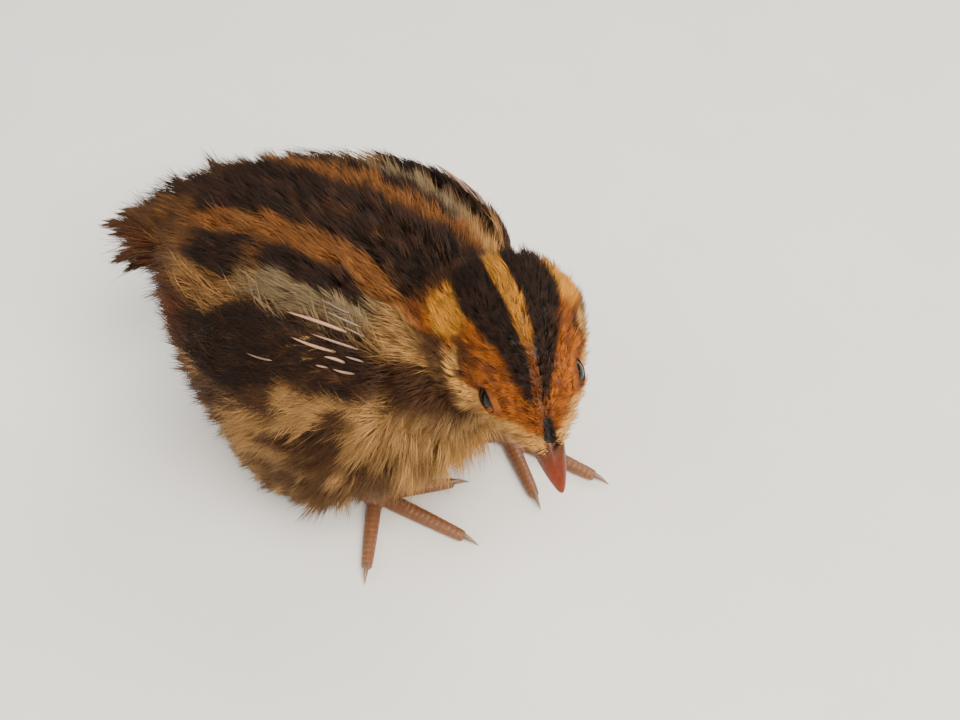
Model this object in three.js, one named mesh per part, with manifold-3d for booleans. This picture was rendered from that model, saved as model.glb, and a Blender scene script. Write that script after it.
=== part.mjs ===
// A coturnix quail chick, about six days old and life size. It squats on its hocks, with its head
// turned to its right, bent down and tilted a little. Natal down covers it, and the first flight
// feathers stand on its wings in their sheaths. The forms reach to the tips of the down.
// Millimetres, +Z up. The body faces +X and its left is +Y. It rests on the plane z = 0.

import * as THREE from "three";
import { mergeVertices } from "three/addons/utils/BufferGeometryUtils.js";
import Module from "manifold-3d";

const wasm = await Module();
wasm.setup();

const GAP = 0.3; // left between two pieces that touch
const SMALLEST_EDGE = 0.01;
const V = (x, y, z) => new THREE.Vector3(x, y, z);
const RAD = Math.PI / 180;
const LEFT = 1;
const RIGHT = -1;
const SIDES = [[RIGHT, "right"], [LEFT, "left"]];

// Sizes of the living bird
const TORSO = {
  middle: V(0.5, 2.2, 20.6),
  front: 22,
  back: 26,
  halfWidth: 20.3,
  up: 18,
  down: 17.8,
  lean: 8,
};
const HEAD = {
  middle: V(24.6, -1.6, 33),
  yaw: -43,
  pitch: 27,
  roll: 9,
  front: 11,
  back: 10.5,
  halfWidth: 7.8,
  up: 8.2,
  down: 7.6,
};
const EYE = { forward: 4.4, up: 1.3, out: 3.05, radius: 2.4, opening: 1.5, dent: 0.7, dentWidth: 1.9 };
const BILL = { base: 8.6, length: 7.0, halfWidth: 2.3, height: 2.5, below: -2.2, droop: 0.9 };
const NOSTRIL = { forward: 11.4, out: 1.75, up: -1.0, long: 0.75, high: 0.35 };
const NECK = { middle: V(14.5, 0, 27), along: 11, halfWidth: 11.3, halfHeight: 9.8 };
const TAIL = { root: -18, tip: -32, height: 25.5, halfWidth: 6.4, halfHeight: 3.6 };
const PLUMES = { rows: [{ count: 6, rise: 1.7 }, { count: 5, rise: -1.9 }], halfWidth: 1.7, halfThick: 1 };
const THIGH = {
  knee: V(7, 14.5, 13),
  nearer: 1.5,
  heel: V(0.5, 2.2, 3),
  halfWidth: 4.6,
  halfHeight: 5.4,
  over: 3,
};
const SHANK = { length: 18.5, shaft: 1.25, hock: 1.9, pad: 1.75, toeOut: 3 };
const STANCE = {
  [RIGHT]: { pad: V(8, -6.6, 1.45), heading: -1 },
  [LEFT]: { pad: V(18.2, 9.2, 1.45), heading: -2 },
};
const TOES = {
  middle: { spread: 0, length: 12.8, radius: 1.05 },
  inner: { spread: 40, length: 10, radius: 0.95 },
  outer: { spread: -64, length: 10.6, radius: 0.95 },
  hind: { spread: 146, length: 5.2, radius: 0.8 },
};
const CLAW = { length: 2.2, radius: 0.6, tipHeight: 0.25 };
const LID = { out: 2.0, wider: 0.25, radius: 0.4 };
const ARM = { forward: 0.37, lift: 34, halfLength: 0.18, halfLift: 13, thick: 1.3 };
const FLIGHT = {
  count: 7,
  root: 0.3,
  tip: -0.5,
  lift: 32,
  rootSpan: 19,
  tipSpan: 30,
  halfWidth: 3.6,
  out: 0.75,
};
const COVERTS = {
  count: 6,
  root: 0.4,
  tip: -0.08,
  lift: 34,
  rootSpan: 19,
  tipSpan: 25,
  halfWidth: 2.6,
  out: 1.2,
};
const SHEATH = { root: 0.46, tip: 0.16, radius: 0.3, out: 1.6 };
const VANE = 0.32; // half the thickness of a vane

// A geometry as a solid, with its shared vertices merged
function solidOf(geometry, within = 1e-4) {
  const bare = geometry.clone();
  bare.deleteAttribute("normal");
  bare.deleteAttribute("uv");
  const merged = mergeVertices(bare, within);
  return new wasm.Manifold(
    new wasm.Mesh({
      numProp: 3,
      vertProperties: new Float32Array(merged.attributes.position.array),
      triVerts: new Uint32Array(merged.index.array),
    }),
  );
}

// The largest closed surface of a solid. It drops loose scraps and fills sealed hollows.
const largestOf = (solid) => solid.decompose().sort((a, b) => b.volume() - a.volume())[0];

// A solid as a geometry. Corners closer than the smallest edge become one, which can part off a scrap.
function geometryOf(solid) {
  const drawn = (piece) => {
    const mesh = piece.getMesh();
    const geometry = new THREE.BufferGeometry();
    geometry.setAttribute("position", new THREE.BufferAttribute(mesh.vertProperties, 3));
    geometry.setIndex(new THREE.BufferAttribute(mesh.triVerts, 1));
    return geometry;
  };
  const geometry = drawn(largestOf(solidOf(drawn(largestOf(solid)), SMALLEST_EDGE)));
  geometry.computeVertexNormals();
  return geometry;
}

// A unit ball whose poles lie fore and aft, with each point moved by place(forward, left, up)
function ball(around, along, place) {
  const geometry = new THREE.SphereGeometry(1, around, along);
  const points = geometry.attributes.position;
  for (let i = 0; i < points.count; i++) {
    const p = place(points.getY(i), points.getZ(i), points.getX(i));
    points.setXYZ(i, p.x, p.y, p.z);
  }
  return solidOf(geometry);
}

// A turned piece from a to b, whose radius at the share t of its length is radius(t), with round ends
function turned(a, b, radius, steps, sides) {
  const length = a.distanceTo(b);
  const profile = [];
  for (let i = 0; i <= steps; i++) {
    const t = 0.5 - 0.5 * Math.cos((Math.PI * i) / steps);
    const fromEnd = Math.min(t, 1 - t) * length;
    const r = radius(t);
    const cap = Math.sqrt(Math.max(0, r ** 2 - Math.max(0, r - fromEnd) ** 2));
    profile.push(new THREE.Vector2(cap, length * t));
  }
  const geometry = new THREE.LatheGeometry(profile, sides);
  const turn = new THREE.Quaternion().setFromUnitVectors(V(0, 1, 0), b.clone().sub(a).normalize());
  geometry.applyQuaternion(turn);
  geometry.translate(a.x, a.y, a.z);
  return solidOf(geometry);
}

// Everything below the floor
const UNDER_FLOOR = solidOf(new THREE.BoxGeometry(300, 300, 20).translate(0, 0, -10));

// Torso: an egg, full at the breast, that narrows and rises to the rump. It leans a little to its left.
function torsoAt(forward, left, up, grow = 0) {
  const rear = Math.min(0, forward) ** 2;
  const front = Math.max(0, forward) ** 2;
  const width = TORSO.halfWidth * (1 + 0.02 * forward - 0.46 * rear - 0.1 * front) + grow;
  const above = TORSO.up * (1 - 0.08 * rear - 0.05 * front) + grow;
  const below = TORSO.down * (1 - 0.5 * rear) + grow;
  const length = (forward > 0 ? TORSO.front : TORSO.back) + grow;
  const across = width * left;
  const high = (up > 0 ? above : below) * up;
  const y = across * Math.cos(TORSO.lean * RAD) + high * Math.sin(TORSO.lean * RAD);
  const z = high * Math.cos(TORSO.lean * RAD) - across * Math.sin(TORSO.lean * RAD);
  return V(length * forward, y, z + 4 * rear - 0.5 * front).add(TORSO.middle);
}
const torsoForm = (grow) => ball(36, 22, (f, l, u) => torsoAt(f, l, u, grow));

// A point on the flank: forward from -1 to 1, lift in degrees above the side, and out from the surface
function flankPoint(side, forward, lift, out) {
  const at = (f, degrees) => {
    const around = Math.sqrt(Math.max(0, 1 - f * f));
    return torsoAt(f, side * around * Math.cos(degrees * RAD), around * Math.sin(degrees * RAD));
  };
  const here = at(forward, lift);
  const fore = at(forward + 0.01, lift).sub(here);
  const over = at(forward, lift + 1).sub(here);
  const normal = fore.cross(over).multiplyScalar(-side).normalize();
  return here.addScaledVector(normal, out);
}

// Head: its own frame has +X to the bill, +Y to its left and +Z to the crown
const headPose = new THREE.Matrix4()
  .makeRotationFromEuler(new THREE.Euler(HEAD.roll * RAD, HEAD.pitch * RAD, HEAD.yaw * RAD, "ZYX"))
  .setPosition(HEAD.middle);
const inHead = (x, y, z) => V(x, y, z).applyMatrix4(headPose);

function headAt(forward, left, up, grow = 0) {
  const length = (forward > 0 ? HEAD.front : HEAD.back) + grow;
  const width = HEAD.halfWidth * (1 - 0.32 * forward - 0.14 * forward ** 2) + grow;
  const height = (up > 0 ? HEAD.up : HEAD.down) * (1 - 0.12 * Math.max(0, forward)) + grow;
  const fall = -1.9 * Math.max(0, forward) ** 2 - 0.6 * Math.max(0, -forward) ** 2;
  const x = length * forward;
  const z = fall + height * up;
  const away = Math.hypot(x - EYE.forward, z - EYE.up) / EYE.dentWidth;
  const dent = EYE.dent * Math.exp(-0.5 * away ** 2) * Math.tanh(3 * left);
  return inHead(x, width * (1 - 0.12 * up) * left - dent, z);
}
const headForm = (grow) => ball(30, 20, (f, l, u) => headAt(f, l, u, grow));

const eyeForm = (side, grow) =>
  ball(14, 10, (f, l, u) => {
    const r = EYE.radius + grow;
    return inHead(EYE.forward + r * f, side * EYE.out + r * l, EYE.up + r * u);
  });

// Lids: a ring round each eye's opening, proud of the down
function lidForm(side, grow) {
  const geometry = new THREE.TorusGeometry(EYE.opening + LID.wider, LID.radius + grow, 6, 16);
  geometry.rotateX(90 * RAD);
  geometry.translate(EYE.forward, side * (EYE.out + LID.out), EYE.up);
  geometry.applyMatrix4(headPose);
  return solidOf(geometry);
}

// Bill: two halves that meet along the line of the mouth
function billForm(up, grow) {
  return ball(14, 12, (f, l, u) => {
    const t = (f + 1) / 2;
    const narrow = 1 - 0.55 * t;
    const length = BILL.length * (up ? 1 : 0.93);
    const x = BILL.base - 2 + (length + 2) * t + grow * f;
    const y = (BILL.halfWidth * (up ? 1 : 0.86) * narrow + grow) * l;
    const line = BILL.below - BILL.droop * t ** 3;
    const deep = up ? BILL.height * narrow : BILL.height * 0.55 * narrow;
    const z = up
      ? line + Math.max(0, u) * deep + Math.min(0, u) * 0.15
      : line - GAP + Math.min(0, u) * deep + Math.max(0, u) * 0.15;
    return inHead(x, y, z + grow * u);
  });
}

// Nostrils: a slit on each side of the upper half, near its root
function nostrilsCut(bill) {
  let open = bill;
  for (const [side] of SIDES) {
    const pit = ball(8, 5, (f, l, u) => {
      const height = NOSTRIL.up + NOSTRIL.high * u;
      return inHead(NOSTRIL.forward + NOSTRIL.long * f, side * NOSTRIL.out + 0.5 * l, height);
    });
    open = open.subtract(pit);
  }
  return open;
}

// Neck: short and thick, from the breast up to the head
function neckForm() {
  const axis = HEAD.middle.clone().sub(TORSO.middle).normalize();
  const across = V(0, 1, 0);
  const over = axis.clone().cross(across);
  return ball(26, 12, (f, l, u) =>
    NECK.middle
      .clone()
      .addScaledVector(axis, NECK.along * f)
      .addScaledVector(across, NECK.halfWidth * l)
      .addScaledVector(over, NECK.halfHeight * u),
  );
}

// Leg: the hock rests on the floor behind the pad that carries the toes
function hockOf(side) {
  const { pad, heading } = STANCE[side];
  const back = (heading + 180 - side * SHANK.toeOut) * RAD;
  return V(Math.cos(back), Math.sin(back), 0).multiplyScalar(SHANK.length).add(pad).setZ(SHANK.hock - 0.2);
}

function shankForm(side, grow = 0) {
  const radius = (t) =>
    SHANK.shaft +
    (SHANK.hock - SHANK.shaft) * Math.exp(-(((t - 0.09) / 0.11) ** 2)) +
    (SHANK.pad - SHANK.shaft) * Math.exp(-(((t - 0.92) / 0.1) ** 2)) +
    grow;
  const hock = hockOf(side);
  const along = STANCE[side].pad.clone().sub(hock).normalize();
  const from = hock.clone().addScaledVector(along, -grow);
  const to = STANCE[side].pad.clone().addScaledVector(along, SHANK.pad + grow);
  return turned(from, to, radius, 14, 10);
}

function toeLine(side, toe) {
  const { pad, heading } = STANCE[side];
  const turn = (heading - side * toe.spread) * RAD;
  const away = V(Math.cos(turn), Math.sin(turn), 0);
  const start = pad.clone().addScaledVector(away, 0.6).setZ(toe.radius * 0.9);
  const end = pad.clone().addScaledVector(away, toe.length).setZ(toe.radius * 0.7);
  return { away, start, end };
}

function toeForm(side, toe, grow = 0) {
  const { away, start, end } = toeLine(side, toe);
  const radius = (t) => toe.radius * (1 - 0.3 * t + 0.07 * Math.cos(t * 6 * Math.PI)) + grow;
  return turned(start, end.clone().addScaledVector(away, grow), radius, 9, 8);
}

function clawForm(side, toe) {
  const { away, end } = toeLine(side, toe);
  const tip = end.clone().addScaledVector(away, CLAW.length).setZ(CLAW.tipHeight);
  return turned(end.clone().addScaledVector(away, -0.6), tip, (t) => CLAW.radius * (1 - 0.85 * t), 3, 6);
}

// Thigh: the down over the shin, from the knee at the flank back to the hock
function thighForm(side, grow = 0) {
  const { knee: { x, y, z }, nearer, heel: rise } = THIGH;
  const knee = V(x, side * y + nearer, z);
  const heel = hockOf(side).add(V(rise.x, side * rise.y, rise.z));
  const middle = knee.clone().add(heel).multiplyScalar(0.5);
  const axis = knee.clone().sub(heel);
  const half = axis.length() / 2 + THIGH.over;
  axis.normalize();
  const across = V(0, 1, 0).addScaledVector(axis, -axis.y).normalize();
  const over = axis.clone().cross(across);
  return ball(20, 12, (f, l, u) => {
    const full = 1 + 0.35 * f;
    return middle
      .clone()
      .addScaledVector(axis, (half + grow) * f)
      .addScaledVector(across, (THIGH.halfWidth * full + grow) * l)
      .addScaledVector(over, (THIGH.halfHeight * full + grow) * u);
  });
}

// A repeatable draw between -1 and 1
const draw = (seed) => Math.sin(seed * 12.9898);

// A flat, tapered feather on the flank. Its root and tip are each given as forward, lift and out.
// It runs backwards, so its left is turned round to keep its faces outward.
function vane(side, root, tip, halfWidth) {
  return ball(6, 5, (f, l, u) => {
    const t = (f + 1) / 2;
    const [forward, lift, out] = root.map((value, i) => value + (tip[i] - value) * t);
    return flankPoint(side, forward, lift + halfWidth * (1 - 0.2 * f) * u, out - VANE * side * l);
  });
}

// A row of vanes, each a little longer than the one above it, whose tips spread more than their roots
function tierOf(side, { count, root, tip, lift, rootSpan, tipSpan, halfWidth, out }) {
  return Array.from({ length: count }, (_, i) => {
    const s = i / (count - 1) - 0.5;
    const from = [root - 0.03 * s, lift + rootSpan * s, out];
    const to = [tip + 0.2 * (s + 0.5) ** 2, lift - 2 + tipSpan * s, out - 0.1];
    return vane(side, from, to, halfWidth);
  });
}

// Wing: the folded arm on the upper flank, its flight feathers, and the coverts with their sheaths
function wingForm(side) {
  let wing = ball(14, 8, (f, l, u) => {
    const proud = side * l;
    const out = proud > 0 ? 0.6 + ARM.thick * proud : 0.6 + 0.25 * proud;
    return flankPoint(side, ARM.forward + ARM.halfLength * f, ARM.lift + ARM.halfLift * u, out);
  });
  for (const feather of [...tierOf(side, FLIGHT), ...tierOf(side, COVERTS)]) wing = wing.add(feather);
  for (let i = 0; i < COVERTS.count; i++) {
    const s = i / (COVERTS.count - 1) - 0.5;
    const from = flankPoint(side, SHEATH.root, COVERTS.lift + 0.8 * COVERTS.rootSpan * s, SHEATH.out - 0.2);
    const to = flankPoint(side, SHEATH.tip, COVERTS.lift + COVERTS.rootSpan * s, SHEATH.out);
    wing = wing.add(turned(from, to, () => SHEATH.radius, 3, 5));
  }
  return wing;
}

// Tail: a small tuft of down plumes in two rows over a core at the end of the rump
function tailForm() {
  const half = (TAIL.root - TAIL.tip) * 0.4;
  let tail = ball(14, 8, (f, l, u) =>
    V(TAIL.root + 2 - half + half * f, TAIL.halfWidth * 0.8 * l, TAIL.height + TAIL.halfHeight * u),
  );
  PLUMES.rows.forEach(({ count, rise }, row) => {
    for (let i = 0; i < count; i++) {
      const s = (2 * i) / (count - 1) - 1;
      const vary = draw(i + 7 * row + 1);
      const height = TAIL.height + rise;
      const root = V(TAIL.root + vary, 0.5 * TAIL.halfWidth * s, height - 0.6 * s ** 2);
      const back = TAIL.tip + 3 * s ** 2 + row + 0.8 * vary;
      const drop = 0.7 + 1.4 * s ** 2 - 0.4 * vary;
      const tip = V(back, TAIL.halfWidth * s + 0.3 * vary, height - drop);
      tail = tail.add(plume(root, tip, PLUMES.halfWidth + 0.1 * vary, PLUMES.halfThick));
    }
  });
  return tail;
}

// A free plume from root to tip, with half its width and half its thickness
function plume(root, tip, halfWidth, halfThick) {
  const middle = root.clone().add(tip).multiplyScalar(0.5);
  const axis = tip.clone().sub(root).multiplyScalar(0.5);
  return ball(6, 5, (f, l, u) => {
    const at = middle.clone().addScaledVector(axis, f);
    return at.add(V(0, -halfWidth * (1 - 0.3 * f) * l, halfThick * (1 - 0.3 * f) * u));
  });
}

// The pieces, each cut clear of those it grows from
const pieces = new Map();
const add = (name, solid, slot) => pieces.set(name, { solid, slot });
const torsoRoom = torsoForm(GAP);
let head = headForm(0);
let headRoom = headForm(GAP);
for (const [side] of SIDES) {
  head = head.add(lidForm(side, 0));
  headRoom = headRoom.add(lidForm(side, GAP));
}
for (const [side] of SIDES) head = head.subtract(eyeForm(side, GAP));

add("torso", torsoForm(0).subtract(UNDER_FLOOR), "down");
add("head", head.subtract(torsoRoom), "down");
add("neck", neckForm().subtract(torsoRoom).subtract(headRoom), "down");
add("tail", tailForm().subtract(torsoRoom), "down");
add("bill_upper", nostrilsCut(billForm(true, 0)).subtract(headRoom), "bill");
add("bill_lower", billForm(false, 0).subtract(headRoom), "bill");

for (const [side, word] of SIDES) {
  const shankRoom = shankForm(side, GAP);
  add(`eye_${word}`, eyeForm(side, 0), "eye");
  const thigh = thighForm(side).subtract(torsoRoom).subtract(shankRoom);
  add(`thigh_${word}`, thigh.subtract(UNDER_FLOOR), "down");
  add(`wing_${word}`, wingForm(side), "feather");
  add(`shank_${word}`, shankForm(side).subtract(torsoRoom).subtract(UNDER_FLOOR), "leg");
  let taken = shankRoom.add(UNDER_FLOOR);
  for (const [name, toe] of Object.entries(TOES)) {
    add(`toe_${word}_${name}`, toeForm(side, toe).subtract(taken), "leg");
    taken = taken.add(toeForm(side, toe, GAP));
    add(`claw_${word}_${name}`, clawForm(side, toe).subtract(taken), "claw");
  }
}

const FINISHES = {
  down: { color: 0x7a5a36, roughness: 0.9 },
  feather: { color: 0x3a2a1c, roughness: 0.7 },
  bill: { color: 0xb0603c, roughness: 0.45 },
  eye: { color: 0x0e0b0a, roughness: 0.08 },
  leg: { color: 0xb8735a, roughness: 0.55 },
  claw: { color: 0xa98a78, roughness: 0.4 },
};

const chick = new THREE.Group();
for (const [name, { solid, slot }] of pieces) {
  const material = new THREE.MeshStandardMaterial({ ...FINISHES[slot], metalness: 0 });
  const mesh = new THREE.Mesh(geometryOf(solid), material);
  mesh.name = name;
  chick.add(mesh);
}

// The origin goes to the middle of the floor under the chick
const box = new THREE.Box3().setFromObject(chick);
const middle = box.getCenter(V(0, 0, 0));
chick.position.set(-middle.x, -middle.y, 0);

export default chick;
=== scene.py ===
# %% [markdown]
# A coturnix quail chick, about six days old and life size, squatting on its hocks with its head turned
# to its right and bent down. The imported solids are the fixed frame: they say where every form is. This
# script dresses them with skin, down, young feathers, lids, bill, scaled legs and claws.

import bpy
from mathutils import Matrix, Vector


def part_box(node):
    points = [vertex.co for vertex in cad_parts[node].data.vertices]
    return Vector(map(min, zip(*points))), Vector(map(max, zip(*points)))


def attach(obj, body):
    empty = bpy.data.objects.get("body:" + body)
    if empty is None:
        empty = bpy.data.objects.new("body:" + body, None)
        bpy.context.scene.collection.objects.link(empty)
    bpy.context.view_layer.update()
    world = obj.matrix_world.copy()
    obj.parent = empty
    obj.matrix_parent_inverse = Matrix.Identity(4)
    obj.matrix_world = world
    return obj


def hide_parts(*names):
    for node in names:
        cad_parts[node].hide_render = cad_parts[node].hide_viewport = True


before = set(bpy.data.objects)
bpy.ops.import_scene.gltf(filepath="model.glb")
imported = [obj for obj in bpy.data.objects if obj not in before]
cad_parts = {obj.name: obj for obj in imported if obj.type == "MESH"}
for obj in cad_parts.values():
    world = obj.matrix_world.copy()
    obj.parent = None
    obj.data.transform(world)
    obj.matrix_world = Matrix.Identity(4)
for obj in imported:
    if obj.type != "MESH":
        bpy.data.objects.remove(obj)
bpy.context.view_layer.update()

# %% Libraries
import math
from types import SimpleNamespace as Sizes

import bmesh
import bpy
import numpy as np
from mathutils import Matrix, Vector, kdtree, noise

SEED = 6
rng = np.random.default_rng(SEED)

# %% [markdown]
# Every size below is in millimetres in the bird's own frame, whose +X is forward and +Y its left. The
# solids were made from the same named sizes, so a marking or a hair finds its place by the same
# formulas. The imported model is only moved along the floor, and the eye tells by how much.

# %% Sizes of the forms
MM = 0.001
TORSO = Sizes(middle=np.array([0.5, 2.2, 20.6]), front=22, back=26, half_width=20.3, up=18, down=17.8,
              lean=8, rear_up=4, front_down=0.5)
HEAD = Sizes(middle=np.array([24.6, -1.6, 33.0]), yaw=-43, pitch=27, roll=9,
             front=11, back=10.5, half_width=7.8, narrowing=0.32, up=8.2, down=7.6)
EYE = Sizes(forward=4.4, out=3.05, up=1.3, radius=2.4, bare=1.25, raised=27, ahead=8)
TAIL = Sizes(middle=np.array([-21.6, 0.0, 25.5]), half=np.array([5.6, 5.1, 3.6]))
LEFT, RIGHT = 1, -1
SIDES = {"right": RIGHT, "left": LEFT}

# The head is tilted to its right by the roll, bent down by the pitch and turned left by the yaw. A yaw
# below 0 turns it right.
TURNS = [Matrix.Rotation(math.radians(angle), 3, axis)
         for angle, axis in zip((HEAD.yaw, HEAD.pitch, HEAD.roll), "ZYX")]
HEAD_TURN = np.array(TURNS[0] @ TURNS[1] @ TURNS[2])


def from_head(points):
    """Points of the head's own frame, in the bird's frame."""
    return np.asarray(points, float) @ HEAD_TURN.T + HEAD.middle


def to_head(points):
    """Points of the bird's frame, in the head's own frame: +X to the bill, +Z to the crown."""
    return (points - HEAD.middle) @ HEAD_TURN


def eye_middle(sign):
    """The middle of an eye, in the head's own frame."""
    return np.array([EYE.forward, sign * EYE.out, EYE.up])


EYE_PLACE = {side: from_head(eye_middle(sign)) for side, sign in SIDES.items()}
EYE_LOW, EYE_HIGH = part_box("eye_right")
SHIFT = np.array((EYE_LOW + EYE_HIGH) / 2) / MM - EYE_PLACE["right"]
SHIFT[2] = 0
print("the packed bird is moved by", SHIFT.round(3), "mm")


def to_scene(points):
    """Points of the bird's frame, in metres of the scene."""
    return (np.asarray(points, float) + SHIFT) * MM


def to_bird(points):
    """Points of the scene, in millimetres of the bird's frame."""
    return np.asarray(points, float) / MM - SHIFT


# %% Helpers for soft edges
def step(low, high, value):
    """0 before low and 1 after high, with a soft change between; low may be the larger."""
    t = np.clip((value - low) / (high - low), 0, 1)
    return t * t * (3 - 2 * t)


def mixed(a, b, share):
    """a where share is 0, b where it is 1."""
    return a + (b - a) * np.asarray(share)[..., None]


def unit(vectors):
    """Vectors at length 1."""
    return vectors / np.maximum(np.linalg.norm(vectors, axis=-1, keepdims=True), 1e-9)


def lumps(points, size, seed):
    """Smooth noise from about -1 to 1 at each point, with lumps of that size in millimetres."""
    return np.array([noise.noise(p) for p in points / size + 17.3 * seed])


def between(low, high, soft, value):
    """1 from low to high and 0 outside, with both edges softened by so much."""
    return step(low - soft, low + soft, value) * step(high + soft, high - soft, value)


def layered(paint, layers):
    """A paint under layers, each a colour and its share at each point."""
    for shade, share in layers:
        paint = mixed(paint, shade, share)
    return paint


def way_of(degrees):
    """A way along the floor, by its angle to the left of straight ahead."""
    angle = math.radians(degrees)
    return np.array([math.cos(angle), math.sin(angle), 0])


def object_of(name, data):
    """A mesh, a camera or a light as an object in the scene, at the origin."""
    made = bpy.data.objects.new(name, data)
    bpy.context.scene.collection.objects.link(made)
    return made


# %% [markdown]
# The camera looks down on the bird from its right front, as in the picture, through a lens of 50 mm
# from 157 mm away. It is made first, so that every later look is taken from the same place.

# %% Camera
CAMERA = dict(target=(16, 6, 18), azimuth=28, height=50, distance=157)
LENS = dict(lens=50, sensor_width=36, clip_start=0.005)


def look_from(name, data, target, azimuth, height, distance):
    """A camera or a light that looks at a target, in mm and degrees of the bird's frame."""
    a, h = math.radians(azimuth), math.radians(height)
    back = np.array([math.sin(a) * math.cos(h), -math.cos(a) * math.cos(h), math.sin(h)])
    made = object_of(name, data)
    made.location = to_scene(np.array(target) + distance * back)
    made.rotation_euler = Vector(back).to_track_quat("Z", "Y").to_euler()
    return made


camera_data = bpy.data.cameras.new("camera")
for name, value in LENS.items():
    setattr(camera_data, name, value)
camera = look_from("camera", camera_data, **CAMERA)
bpy.context.scene.camera = camera
print("camera at", camera.location)

# %% [markdown]
# Three places tell what grows where: how far a point is onto the head, onto a thigh, and where it lies
# on the trunk. The trunk's own place is a distance along it and an angle round it from the top of the
# back, which the stripes of the back follow.

# %% Places on the body
STANCE = {
    "right": Sizes(pad=np.array([8, -6.6, 1.45]), heading=-1),
    "left": Sizes(pad=np.array([18.2, 9.2, 1.45]), heading=-2),
}
SHANK = Sizes(length=18.5, hock_height=1.7, toe_out=3)
THIGH = Sizes(knee=np.array([7, 14.5, 13]), aside=1.5, heel=np.array([0.5, 2.2, 3]), radius=3.4, wider=3.2)
BILL_ROOT = np.array([9.5, 0, -1.6])
FAR = 20.0


def hock(side):
    """The hock's place, on the floor behind the pad of the foot."""
    way = way_of(STANCE[side].heading + 180 - SIDES[side] * SHANK.toe_out)
    place = STANCE[side].pad + SHANK.length * way
    place[2] = SHANK.hock_height
    return place


def trunk_place(points):
    """Distance forward along the trunk in mm, and the angle round it: 0 on top, 90 at its left."""
    q = points - TORSO.middle
    forward = q[:, 0] / np.where(q[:, 0] > 0, TORSO.front, TORSO.back)
    rear, front = np.minimum(0, forward) ** 2, np.maximum(0, forward) ** 2
    z = q[:, 2] - TORSO.rear_up * rear + TORSO.front_down * front
    lean = math.radians(TORSO.lean)
    across = q[:, 1] * math.cos(lean) - z * math.sin(lean)
    high = z * math.cos(lean) + q[:, 1] * math.sin(lean)
    return q[:, 0], np.degrees(np.arctan2(across, high))


def head_share(points):
    """1 on the head, 0 on the trunk, with the neck between."""
    q = to_head(points)
    length = np.where(q[:, 0] > 0, HEAD.front, HEAD.back)
    width = HEAD.half_width * (1 - HEAD.narrowing * q[:, 0] / length)
    height = np.where(q[:, 2] > 0, HEAD.up, HEAD.down)
    reach = np.sqrt((q[:, 0] / length) ** 2 + (q[:, 1] / width) ** 2 + (q[:, 2] / height) ** 2)
    near_bill = step(6.5, 4.5, np.linalg.norm(q - BILL_ROOT, axis=1))
    return np.maximum(step(1.3, 1.03, reach), near_bill)


def thigh_share(points):
    """1 on a thigh, 0 away from it."""
    share = np.zeros(len(points))
    for side, sign in SIDES.items():
        knee = THIGH.knee * [1, sign, 1] + [0, THIGH.aside, 0]
        heel = hock(side) + THIGH.heel * [1, sign, 1]
        bone = knee - heel
        t = np.clip((points - heel) @ bone / (bone @ bone), 0, 1)
        away = np.linalg.norm(points - heel - t[:, None] * bone, axis=1)
        share = np.maximum(share, step(1.25, 1.0, away / (THIGH.radius + THIGH.wider * t)))
    return share


def eye_axes(sign):
    """The three ways of an eye in the head's frame: forward, the way it looks, and up."""
    raised, ahead = math.radians(EYE.raised), math.radians(EYE.ahead)
    aside = sign * math.cos(ahead) * math.cos(raised)
    look = np.array([math.sin(ahead), aside, math.cos(ahead) * math.sin(raised)])
    forward = unit(np.array([1.0, 0, 0]) - look[0] * look)
    return np.array([forward, look, np.cross(forward, look) * sign])


def eye_distance(points):
    """Distance of points from the line along which the nearer eye looks."""
    nearest = np.full(len(points), FAR)
    for sign in SIDES.values():
        v = to_head(points) - eye_middle(sign)
        look = eye_axes(sign)[1]
        along = v @ look
        away = np.linalg.norm(v - along[:, None] * look, axis=1)
        nearest = np.minimum(nearest, np.where(along > 0, away, FAR))
    return nearest


# %% [markdown]
# One skin covers the bird without a seam. The flesh solids are copied, swollen a little so that they
# meet, and joined by a voxel remesh, which melts the neck into the head and the trunk. The skin then
# sinks by the depth of the down, so that the tips of the down reach the form of the solids. Balls add
# the root of the tail and the feathered root of the bill. Round each eye the skin hugs the eyeball.

# %% Skin
FLESH = ["torso", "head", "neck", "thigh_right", "thigh_left", "eye_right", "eye_left"]
MUZZLE = Sizes(middle=np.array([9.3, 0, -1.55]), half=np.array([3.7, 2.4, 1.9]))
SOCKET = Sizes(deep=2.33, rise=1.2, inner=1.35, outer=2.9)
SKIN = Sizes(swell=0.25, voxel=0.5, rounds=12, neck_rounds=60, last_rounds=4)
DEPTH = Sizes(trunk=2.2, head=1.3, thigh=0.8, face=0.6, arm=2.0)
ARM = Sizes(forward=0.37, lift=34, half_length=0.2, half_lift=13)
SAME_PLACE = 0.002


def mesh_from(name, bm):
    """A finished bmesh as a smooth mesh."""
    mesh = bpy.data.meshes.new(name)
    bm.to_mesh(mesh)
    bm.free()
    mesh.polygons.foreach_set("use_smooth", np.ones(len(mesh.polygons), bool))
    return mesh


def swollen(nodes, by):
    """Copies of solids in one bmesh, merged, and each grown by that many millimetres."""
    bm = bmesh.new()
    for node in nodes:
        bm.from_mesh(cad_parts[node].data)
    bmesh.ops.remove_doubles(bm, verts=bm.verts, dist=SAME_PLACE * MM)
    bm.normal_update()
    for vert in bm.verts:
        vert.co += vert.normal * by * MM
    return bm


def evaluated(made):
    """The object's mesh with its modifiers applied; the object is removed."""
    graph = bpy.context.evaluated_depsgraph_get()
    mesh = bpy.data.meshes.new_from_object(made.evaluated_get(graph))
    bpy.data.objects.remove(made)
    return mesh


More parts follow.
